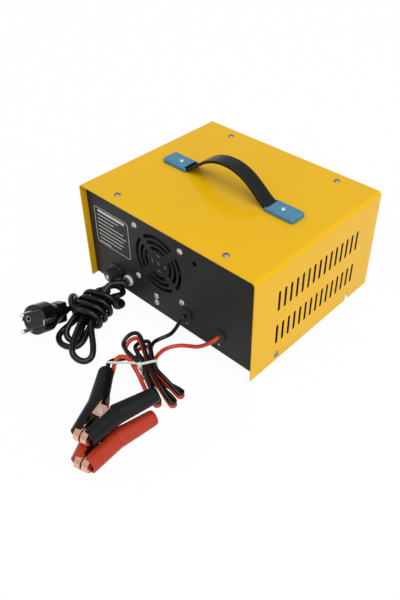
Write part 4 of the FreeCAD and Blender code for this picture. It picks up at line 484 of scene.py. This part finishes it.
def dress(node, material, edge, parted=()):
    """A rounded and merged copy of a CAD node; edge is the width of its rounding in millimetres.

    Its faces are parted along each plane in parted, a point and a direction, for a second finish on one side."""
    source = nodes[node]
    shape = bmesh.new()
    shape.from_mesh(source.data)
    bmesh.ops.remove_doubles(shape, verts=shape.verts, dist=MERGE_DISTANCE * mm)
    bmesh.ops.dissolve_limit(shape, angle_limit=radians(FLAT_ANGLE), verts=shape.verts, edges=shape.edges)
    for place, direction in parted:
        everything = shape.verts[:] + shape.edges[:] + shape.faces[:]
        bmesh.ops.bisect_plane(shape, geom=everything, plane_co=Vector(place) * mm, plane_no=direction)
    mesh = bpy.data.meshes.new(node + "_dressed")
    shape.to_mesh(mesh)
    shape.free()
    mesh.polygons.foreach_set("use_smooth", [True] * len(mesh.polygons))
    if not edge:
        mesh.set_sharp_from_angle(angle=radians(SHARP_ANGLE))
    else:
        obj = bpy.data.objects.new(node + "_edges", mesh)
        bpy.context.scene.collection.objects.link(obj)
        bevel = obj.modifiers.new("edges", "BEVEL")
        bevel.width = edge * mm
        bevel.segments = EDGE_STEPS
        bevel.limit_method = "ANGLE"
        bevel.angle_limit = radians(SHARP_ANGLE)
        bevel.miter_outer = "MITER_ARC"
        level = obj.modifiers.new("flat faces stay flat", "WEIGHTED_NORMAL")
        level.weight = 100
        mesh = bpy.data.meshes.new_from_object(obj.evaluated_get(bpy.context.evaluated_depsgraph_get()))
        bpy.data.objects.remove(obj)
    return add_piece(node + "_piece", mesh, material, source["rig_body"], node)


# %% [markdown]
# The cover is parted behind each panel, and the metal of the clamps in front of the pin, because they get a second
# material there, painted shade. WEB_START and WEB_END say, from the pin of a clamp, between where its metal is
# painted dark as shade.

# %% Dressed nodes
WEB_START, WEB_END = 6.5, 18.5


def across_jaws(*clamps):
    """The planes across the jaws where the metal's webs begin."""
    return [(clamp_point(clamp, WEB_START, 0), clamp_point(clamp, 1, 0) - clamp_point(clamp, 0, 0))
            for clamp in clamps]


behind_panels = [((0, y, 0), (0, 1, 0)) for y in (-PANEL_Y, PANEL_Y)]
dressed = {"top_cover": dress("top_cover", yellow_enamel, 0.3, parted=behind_panels),
           "clamp_levers": dress("clamp_levers", copper_plate, 0.15, parted=across_jaws(RED_CLAMP, BLACK_CLAMP)),
           "red_moving_lever": dress("red_moving_lever", copper_plate, 0.15, parted=across_jaws(RED_CLAMP)),
           "black_moving_lever": dress("black_moving_lever", copper_plate, 0.15, parted=across_jaws(BLACK_CLAMP))}
for node, material, edge in (
        ("chassis", black_enamel, 0.25), ("case_screws", dull_plating, 0.15),
        ("panel_screws", bright_plating, 0.15), ("handle_screws", bright_plating, 0.12),
        ("handle_caps", cap_blue, 0.5), ("handle_strap", strap_vinyl, 0.6), ("fan_frame", dark_plastic, 0.25),
        ("fan_rotor", dark_plastic, 0.2), ("fuse_holder", dark_plastic, 0.25), ("fuse_cap", dark_plastic, 0.15),
        ("mains_gland", gland_grey, 0.2), ("lead_grommets", foot_rubber, 0.2), ("feet", foot_rubber, 0.5),
        ("plug_body", lead_plastic, 0.4), ("plug_pins", nickel_plate, 0.15), ("cable_tie", white_nylon, 0.2),
        ("front_fascia", black_enamel, 0.2), ("meter_case", dark_plastic, 0.5), ("meter_needle", red_plastic, 0.1),
        ("switch_bodies", dark_plastic, 0.3), ("power_rocker", red_plastic, 0.4),
        ("voltage_rocker", dark_plastic, 0.4), ("charge_knob", dark_plastic, 0.3),
        ("indicator_lamps", red_plastic, 0.2), ("clamp_pins", bright_plating, 0.2),
        ("clamp_springs", bright_plating, 0.0),
        ("black_clamp_sleeves", sleeve_black, 0.7), ("black_moving_sleeves", sleeve_black, 0.7),
        ("red_clamp_sleeves", sleeve_red, 0.7), ("red_moving_sleeves", sleeve_red, 0.7),
        ("meter_window", clear_pane, 0.2)):
    dressed[node] = dress(node, material, edge)
print("dressed", len(dressed), "nodes")

# %% [markdown]
# What is shut up in the case is hardly seen, and keeps the mesh of its solid. It only gets its finish.

# %% Finishes on the pieces inside
inside = {"transformer_core": laminations, "transformer_frame": laminations, "transformer_bobbin": cream_nylon,
          "transformer_windings": wound_copper, "transformer_bolts": bright_plating, "heat_sink": extruded_aluminium,
          "rectifier": extruded_aluminium, "control_board": board_green, "board_standoffs": cream_nylon,
          "board_parts": dark_plastic, "fan_stator": wound_copper, "fuse_holder_nut": dark_plastic,
          "fuse_link": nickel_plate, "terminal_bracket": bright_plating, "inner_wires": lead_plastic}
for node, material in inside.items():
    nodes[node].data.materials.clear()
    nodes[node].data.materials.append(material)
print("painted", len(inside), "nodes inside")

# %% [markdown]
# Some pieces have two materials. The inside of the cover is painted dark as shade, so its slots look dark. The
# webs of the clamps' metal are painted dark as the shade between the jaws. The end of the fuse cap is a bright
# contact, and each lamp has its colour.
# repaint gives the faces that pass a test a second material; the test reads the middle of the face in millimetres.

# %% Second finishes


def repaint(piece, material, test):
    mesh = piece.data
    mesh.materials.append(material)
    chosen = [face for face in mesh.polygons if test(face.center / mm)]
    for face in chosen:
        face.material_index = len(mesh.materials) - 1
    return len(chosen)


CAP_END = PANEL_Y + 14.8
FASCIA_Y = -PANEL_Y - 1.0
WITHIN_WALL, WITHIN_ROOF = 131.75, 137.2
BEND_X, BEND_Z, RIM_Z = 128.5, 134.5, 20.0
JAW_HALF_HEIGHT = 9.5
LAMP_LENSES = ((red_lens, -12.0), (amber_lens, 4.0), (green_lens, 20.0))
LENS_REACH, LENS_FRONT = 6.0, FASCIA_Y - 1.7


# The faces this test picks inside the cover get painted shade.
def inside_cover(c):
    """Within the outer faces of the walls below the bend, or of the roof between the bends."""
    wall = abs(c.x) < WITHIN_WALL and RIM_Z < c.z < BEND_Z
    roof = abs(c.x) < BEND_X and c.z < WITHIN_ROOF
    return abs(c.y) < PANEL_Y and (wall or roof)


# The faces this test picks between the jaws get painted shade.
def on_web(c):
    ahead = [(c - clamp_point(clamp, 0, 0)).dot(clamp_point(clamp, 1, 0) - clamp_point(clamp, 0, 0))
             for clamp in (RED_CLAMP, BLACK_CLAMP) if abs(c.z - clamp["z"]) < JAW_HALF_HEIGHT]
    return any(WEB_START < u < WEB_END for u in ahead)


# The inside of the cover gets its painted shade here.
print("bare faces", repaint(dressed["top_cover"], bare_primer, inside_cover))
# The webs of the clamps' metal get their painted shade here.
for node in ("clamp_levers", "red_moving_lever", "black_moving_lever"):
    print(node, repaint(dressed[node], dark_copper, on_web), "dark faces")
print("fuse tip faces", repaint(dressed["fuse_cap"], bright_plating, lambda c: c.y > CAP_END + 0.03))
for material, middle in LAMP_LENSES:
    count = repaint(dressed["indicator_lamps"], material,
                    lambda c: abs(c.x - middle) < LENS_REACH and c.y < LENS_FRONT)
    print(material.name, count, "faces")

# %% [markdown]
# Some things are too thin for the solid model: the print on the rear panel, the sticker on the fan motor that shows
# through the inner slots, a dark ring of painted shade in the mouth of the pale gland, and the paper scale of the
# meter.
# turned makes a ring from a profile of radius and depth, and slab makes a thin plate with rounded corners.

# %% Rings and thin plates


def turned(name, profile, centre, material, body, turns=64):
    """Revolves (radius, y) points about an axis along Y through centre = (x, z)."""
    shape = bmesh.new()
    rings = []
    for radius, y in profile:
        corners = [2 * pi * k / turns for k in range(turns)]
        rings.append([shape.verts.new(((centre[0] + radius * cos(t)) * mm, y * mm,
                                       (centre[1] + radius * sin(t)) * mm)) for t in corners])
    for inner, outer in zip(rings, rings[1:]):
        for k in range(turns):
            shape.faces.new((inner[k], inner[(k + 1) % turns], outer[(k + 1) % turns], outer[k]))
    bmesh.ops.recalc_face_normals(shape, faces=shape.faces)
    mesh = bpy.data.meshes.new(name)
    shape.to_mesh(mesh)
    shape.free()
    mesh.polygons.foreach_set("use_smooth", [True] * len(mesh.polygons))
    mesh.set_sharp_from_angle(angle=radians(SHARP_ANGLE))
    return add_piece(name, mesh, material, body)


def rounded_outline(x0, x1, z0, z1, radius, steps=6):
    points = []
    for cx, cz, first in ((x1 - radius, z1 - radius, 0), (x0 + radius, z1 - radius, 90),
                          (x0 + radius, z0 + radius, 180), (x1 - radius, z0 + radius, 270)):
        for k in range(steps + 1):
            t = radians(first + 90.0 * k / steps)
            points.append((cx + radius * cos(t), cz + radius * sin(t)))
    return points


def slab(name, loops, y0, y1, material, body):
    """A plate between y0 and y1; loops is one outline, or an outer and an inner one for a frame."""
    shape = bmesh.new()
    levels = [[[shape.verts.new((x * mm, y * mm, z * mm)) for x, z in loop] for loop in loops] for y in (y0, y1)]
    count = len(loops[0])
    for k in range(count):
        n = (k + 1) % count
        for low, high in zip(*levels):
            shape.faces.new((low[k], low[n], high[n], high[k]))
        if len(loops) == 2:
            for outer, inner in levels:
                shape.faces.new((outer[k], outer[n], inner[n], inner[k]))
    if len(loops) == 1:
        for (loop,) in levels:
            shape.faces.new(loop)
    bmesh.ops.recalc_face_normals(shape, faces=shape.faces)
    mesh = bpy.data.meshes.new(name)
    shape.to_mesh(mesh)
    shape.free()
    return add_piece(name, mesh, material, body)


# %% [markdown]
# The label has a frame and a bar for its heading; the bars of its lines follow further down. The minus and the plus
# stand below the black and the red lead. The upright bar of the plus is a hair thicker, so that the two bars don't
# fight for the same surface.

# %% Print, sticker, painted shade in the gland and scale
PRINT = (PANEL_Y + 0.01, PANEL_Y + 0.06)
LABEL, LABEL_CORNER, FRAME_LINE = (60.4, 119.8, 59.8, 111.4), 4.0, 0.7
HEADING = (66.7, 113.5, 105.3, 108.6)
MINUS, PLUS_ACROSS, PLUS_UP = (-31.4, -28.0, 16.9, 17.8), (-81.0, -77.4, 16.7, 17.6), (-79.65, -78.75, 15.35, 18.95)
FAN, HUB_RADIUS, HUB_Y = (12.9, 80.2), 15.4, 100.86
METER, NEEDLE_Z = (-70.0, 92.0), 75.0
SCALE_FRONT, SCALE_BACK = FASCIA_Y - 3.25, FASCIA_Y - 3.02

x0, x1, z0, z1 = LABEL
label_outer = rounded_outline(x0, x1, z0, z1, LABEL_CORNER)
label_inner = rounded_outline(x0 + FRAME_LINE, x1 - FRAME_LINE, z0 + FRAME_LINE, z1 - FRAME_LINE, 3.4)
slab("label_frame", (label_outer, label_inner), *PRINT, white_print, "case")
slab("label_heading", (rounded_outline(*HEADING, 0.6),), *PRINT, white_print, "case")
slab("minus_mark", (rounded_outline(*MINUS, 0.3),), *PRINT, white_print, "case")
slab("plus_mark_across", (rounded_outline(*PLUS_ACROSS, 0.3),), *PRINT, white_print, "case")
slab("plus_mark_up", (rounded_outline(*PLUS_UP, 0.3),), PRINT[0], PRINT[1] + 0.01, white_print, "case")
turned("fan_sticker", ((0.5, HUB_Y), (HUB_RADIUS, HUB_Y), (HUB_RADIUS, HUB_Y - 0.04)), FAN, sticker_green, "case")
# A dark cone in the gland's mouth: painted shade, where the mouth is deep
mouth_shade_profile = ((5.5, 3.2), (5.4, 3.62), (5.0, 3.7), (4.4, 4.3), (3.7, 6.0), (3.4, 6.0))
mouth_shade = [(radius, PANEL_Y + out) for radius, out in mouth_shade_profile]
turned("gland_bush", mouth_shade, (GLAND_X, GLAND_Z), foot_rubber, "case")
slab("meter_scale", (rounded_outline(METER[0] - 26, METER[0] + 26, METER[1] - 13, METER[1] + 26, 2.0),),
     SCALE_FRONT, SCALE_BACK, scale_paper, "case")
print("thin pieces made")

# %% [markdown]
# What repeats is made with Geometry Nodes. One group sets short bars round an arc: it makes the ticks of the meter
# and the marks of the charge knob. The other sets the lines of the label one under the other, each with its own
# length from a fixed seed. Graph is a short way to write such a group.

# %% Node groups for repeated marks


class Graph:
    """A short way to write a node group: it makes nodes, links sockets and declares named inputs."""

    def __init__(self, name, inputs):
        self.group = bpy.data.node_groups.new(name, "GeometryNodeTree")
        self.group.interface.new_socket("Geometry", in_out="OUTPUT", socket_type="NodeSocketGeometry")
        for label, kind, value in inputs:
            socket = self.group.interface.new_socket(label, in_out="INPUT", socket_type="NodeSocket" + kind)
            if value is not None:
                socket.default_value = value
        self.given = self.node("NodeGroupInput").outputs

    def node(self, kind, links=None, **settings):
        node = self.group.nodes.new(kind)
        for name, value in settings.items():
            setattr(node, name, value)
        for name, value in (links or {}).items():
            if isinstance(value, bpy.types.NodeSocket):
                self.group.links.new(value, node.inputs[name])
            else:
                node.inputs[name].default_value = value
        return node

    def math(self, operation, a, b):
        return self.node("ShaderNodeMath", {0: a, 1: b}, operation=operation).outputs[0]

    def finish(self, instances):
        real = self.node("GeometryNodeRealizeInstances", {"Geometry": instances}).outputs[0]
        painted = self.node("GeometryNodeSetMaterial", {"Geometry": real, "Material": self.given["Material"]})
        self.node("NodeGroupOutput", {"Geometry": painted.outputs[0]})
        return self.group


def arc_of_bars():
    graph = Graph("bars round an arc", (
        ("Count", "Int", 6), ("Centre", "Vector", None), ("Radius", "Float", 0.02), ("First angle", "Float", 0.0),
        ("Span", "Float", 1.0), ("Bar length", "Float", 0.003), ("Bar width", "Float", 0.0006),
        ("Material", "Material", None)))
    given = graph.given
    line = graph.node("GeometryNodeMeshLine", {"Count": given["Count"]}).outputs[0]
    index = graph.node("GeometryNodeInputIndex").outputs[0]
    steps = graph.math("SUBTRACT", given["Count"], 1.0)
    turn = graph.math("ADD", graph.math("MULTIPLY", graph.math("DIVIDE", index, steps), given["Span"]),
                      given["First angle"])
    place = graph.node("ShaderNodeCombineXYZ", {
        "X": graph.math("MULTIPLY", graph.math("COSINE", turn, 0.0), given["Radius"]),
        "Z": graph.math("MULTIPLY", graph.math("SINE", turn, 0.0), given["Radius"])}).outputs[0]
    whole = graph.node("ShaderNodeVectorMath", {0: place, 1: given["Centre"]}, operation="ADD").outputs[0]
    points = graph.node("GeometryNodeSetPosition", {"Geometry": line, "Position": whole}).outputs[0]
    size = graph.node("ShaderNodeCombineXYZ", {"X": given["Bar length"], "Y": 0.00008, "Z": given["Bar width"]})
    bar = graph.node("GeometryNodeMeshCube", {"Size": size.outputs[0]}).outputs[0]
    euler = graph.node("ShaderNodeCombineXYZ", {"Y": graph.math("MULTIPLY", turn, -1.0)}).outputs[0]
    rotation = graph.node("FunctionNodeEulerToRotation", {"Euler": euler}).outputs[0]
    spread = graph.node("GeometryNodeInstanceOnPoints", {"Points": points, "Instance": bar, "Rotation": rotation})
    return graph.finish(spread.outputs[0])


def column_of_bars():
    graph = Graph("bars in a column", (
        ("Count", "Int", 8), ("Start", "Vector", None), ("Pitch", "Float", 0.005), ("Longest", "Float", 0.05),
        ("Shortest", "Float", 0.02), ("Bar width", "Float", 0.001), ("Seed", "Int", 3),
        ("Material", "Material", None)))
    given = graph.given
    drop = graph.node("ShaderNodeCombineXYZ", {"Z": graph.math("MULTIPLY", given["Pitch"], -1.0)}).outputs[0]
    line = graph.node("GeometryNodeMeshLine", {"Count": given["Count"], "Start Location": given["Start"],
                                               "Offset": drop}).outputs[0]
    length = graph.node("FunctionNodeRandomValue", {
        2: given["Shortest"], 3: given["Longest"], "Seed": given["Seed"]}, data_type="FLOAT").outputs[1]
    size = graph.node("ShaderNodeCombineXYZ", {"X": 1.0, "Y": 0.00005, "Z": given["Bar width"]})
    bar = graph.node("GeometryNodeMeshCube", {"Size": size.outputs[0]}).outputs[0]
    from_end = graph.node("GeometryNodeTransform", {"Geometry": bar, "Translation": (-0.5, 0.0, 0.0)}).outputs[0]
    scale = graph.node("ShaderNodeCombineXYZ", {"X": length, "Y": 1.0, "Z": 1.0}).outputs[0]
    spread = graph.node("GeometryNodeInstanceOnPoints", {"Points": line, "Instance": from_end, "Scale": scale})
    return graph.finish(spread.outputs[0])


arc_group, column_group = arc_of_bars(), column_of_bars()
print("node groups", arc_group.name, "and", column_group.name)

# %% [markdown]
# plain_mesh runs a group once and keeps what it makes as a plain mesh, so each row of marks is one piece. The ticks
# of the meter stand round the needle's pivot, and the marks of the knob round its spindle.

# %% Ticks, marks and lines
KNOB = (70.0, 92.0)
LINES_START, LINE_PITCH = (115.2, 101.0), 5.5


def plain_mesh(name, group, values, material):
    """Runs a node group once with the given inputs and keeps the result as a plain mesh."""
    holder = bpy.data.objects.new(name + "_maker", bpy.data.meshes.new(name + "_seed"))
    bpy.context.scene.collection.objects.link(holder)
    maker = holder.modifiers.new("maker", "NODES")
    maker.node_group = group
    for item in group.interface.items_tree:
        if item.item_type == "SOCKET" and item.in_out == "INPUT":
            if item.name == "Material":
                maker[item.identifier] = material
            elif item.name in values:
                maker[item.identifier] = values[item.name]
    mesh = bpy.data.meshes.new_from_object(holder.evaluated_get(bpy.context.evaluated_depsgraph_get()))
    mesh.name = name
    bpy.data.objects.remove(holder)
    return mesh


ticks = plain_mesh("meter_ticks", arc_group, {
    "Count": 21, "Centre": (METER[0] * mm, (FASCIA_Y - 3.27) * mm, NEEDLE_Z * mm), "Radius": 0.0325,
    "First angle": radians(48), "Span": radians(84), "Bar length": 0.0030, "Bar width": 0.00045}, dark_plastic)
add_piece("meter_ticks", ticks, dark_plastic, "case")
marks = plain_mesh("charge_marks", arc_group, {
    "Count": 6, "Centre": (KNOB[0] * mm, (FASCIA_Y - 0.03) * mm, KNOB[1] * mm), "Radius": 0.0215,
    "First angle": radians(15), "Span": radians(150), "Bar length": 0.0040, "Bar width": 0.0010}, white_print)
add_piece("charge_marks", marks, white_print, "case")
lines = plain_mesh("label_lines", column_group, {
    "Count": 8, "Start": (LINES_START[0] * mm, (PANEL_Y + 0.035) * mm, LINES_START[1] * mm),
    "Pitch": LINE_PITCH * mm, "Longest": 0.051, "Shortest": 0.016, "Bar width": 0.0011, "Seed": 11}, white_print)
add_piece("label_lines", lines, white_print, "case")
print("repeated marks", len(ticks.polygons), len(marks.polygons), len(lines.polygons), "faces")

# %% [markdown]
# The cords take their finish last and ride on the case; for each battery lead, the pieces it carries are listed and
# counted.
# The two clamps share one node for their fixed metal, one for their pins and one for their springs. These and the
# tie go with the red lead, which carries the lower clamp.

for cord, material in ((mains_cord, lead_plastic), (black_cord, lead_plastic), (red_cord, red_plastic)):
    cord.data.materials.append(material)
    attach(cord, "case")
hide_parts("mains_lead", "mains_lead_hank", "mains_lead_wraps", "mains_lead_tail")
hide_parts("black_lead", "black_lead_hank", "black_lead_tail")
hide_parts("red_lead", "red_lead_hank", "red_lead_tail")
for cord, route, colour in ((black_cord, black_route, "black"), (red_cord, red_route, "red")):
    going = [dressed[colour + "_clamp_sleeves"], dressed[colour + "_moving_sleeves"],
             dressed[colour + "_moving_lever"]]
    if colour == "red":
        going += [dressed["cable_tie"], dressed["clamp_levers"], dressed["clamp_pins"], dressed["clamp_springs"]]
    print(cord.name, "carries", len(going), "pieces")

# %% [markdown]
# The picture has a plain white ground and hardly any shadow. A white sky, a wide sun from above and one soft lamp
# on the slotted side light the case. Light Path shows the camera a brighter sky than the one that lights the case.

# %% Lamps and sky
SUN_STRENGTH, SUN_WIDTH, SKY_STRENGTH, LAMP_POWER = 1.25, 50.0, 0.60, 6.0
WHITE = (1.0, 1.0, 1.0, 1.0)


def area_lamp(name, place, aim, size, power):
    data = bpy.data.lights.new(name, "AREA")
    data.shape = "RECTANGLE"
    data.size, data.size_y = size
    data.energy = power
    obj = bpy.data.objects.new(name, data)
    bpy.context.scene.collection.objects.link(obj)
    obj.location = place
    obj.rotation_euler = (Vector(aim) - Vector(place)).to_track_quat("-Z", "Y").to_euler()
    return obj


area_lamp("side_lamp", (-1.5, 0.5, 0.9), (0.0, 0.0, 0.05), (1.4, 1.2), LAMP_POWER)
sun = bpy.data.objects.new("wide_sun", bpy.data.lights.new("wide_sun", "SUN"))
sun.data.energy = SUN_STRENGTH
sun.data.angle = radians(SUN_WIDTH)
bpy.context.scene.collection.objects.link(sun)
sun.rotation_euler = Vector((0.35, -0.25, -1.0)).to_track_quat("-Z", "Y").to_euler()

world = bpy.data.worlds.new("studio")
bpy.context.scene.world = world
world.use_nodes = True
sky = world.node_tree
soft = sky.nodes["Background"]
soft.inputs["Color"].default_value = WHITE
soft.inputs["Strength"].default_value = SKY_STRENGTH
seen = sky.nodes.new("ShaderNodeBackground")
seen.inputs["Color"].default_value = WHITE
seen.inputs["Strength"].default_value = 1.0
path = sky.nodes.new("ShaderNodeLightPath")
either = add_math(sky, "MAXIMUM", path.outputs["Is Camera Ray"], path.outputs["Is Transmission Ray"])
choose = sky.nodes.new("ShaderNodeMixShader")
sky.links.new(either, choose.inputs["Fac"])
sky.links.new(soft.outputs["Background"], choose.inputs[1])
sky.links.new(seen.outputs["Background"], choose.inputs[2])
sky.links.new(choose.outputs["Shader"], sky.nodes["World Output"].inputs["Surface"])
print("lamps", len(bpy.data.lights), "and a sky of strength", SKY_STRENGTH)

# %% [markdown]
# The floor is pale paper. Most of what the camera sees of it is plain white that lights nothing, and the rest is
# paper as it is lit, so a faint shadow of the case is left.

# %% Floor
FLOOR_REACH, WHITE_SHARE = 6.0, 0.94

floor_shape = bmesh.new()
bmesh.ops.create_grid(floor_shape, x_segments=1, y_segments=1, size=FLOOR_REACH)
floor_mesh = bpy.data.meshes.new("floor")
floor_shape.to_mesh(floor_mesh)
floor_shape.free()
floor = bpy.data.objects.new("floor", floor_mesh)
bpy.context.scene.collection.objects.link(floor)
floor_material = bpy.data.materials.new("white_floor")
floor_material.use_nodes = True
ground = floor_material.node_tree
paper = ground.nodes["Principled BSDF"]
paper.inputs["Base Color"].default_value = (0.92, 0.92, 0.92, 1.0)
paper.inputs["Roughness"].default_value = 0.9
paper.inputs["Specular IOR Level"].default_value = 0.1
bright = ground.nodes.new("ShaderNodeEmission")
bright.inputs["Color"].default_value = WHITE
bright.inputs["Strength"].default_value = 1.0
floor_path = ground.nodes.new("ShaderNodeLightPath")
share = add_math(ground, "MULTIPLY", floor_path.outputs["Is Camera Ray"], WHITE_SHARE)
blend = ground.nodes.new("ShaderNodeMixShader")
ground.links.new(share, blend.inputs["Fac"])
ground.links.new(paper.outputs["BSDF"], blend.inputs[1])
ground.links.new(bright.outputs["Emission"], blend.inputs[2])
ground.links.new(blend.outputs["Shader"], ground.nodes["Material Output"].inputs["Surface"])
floor_mesh.materials.append(floor_material)
bpy.context.scene.view_settings.view_transform = "Standard"
print("floor laid,", 2 * FLOOR_REACH, "m wide")
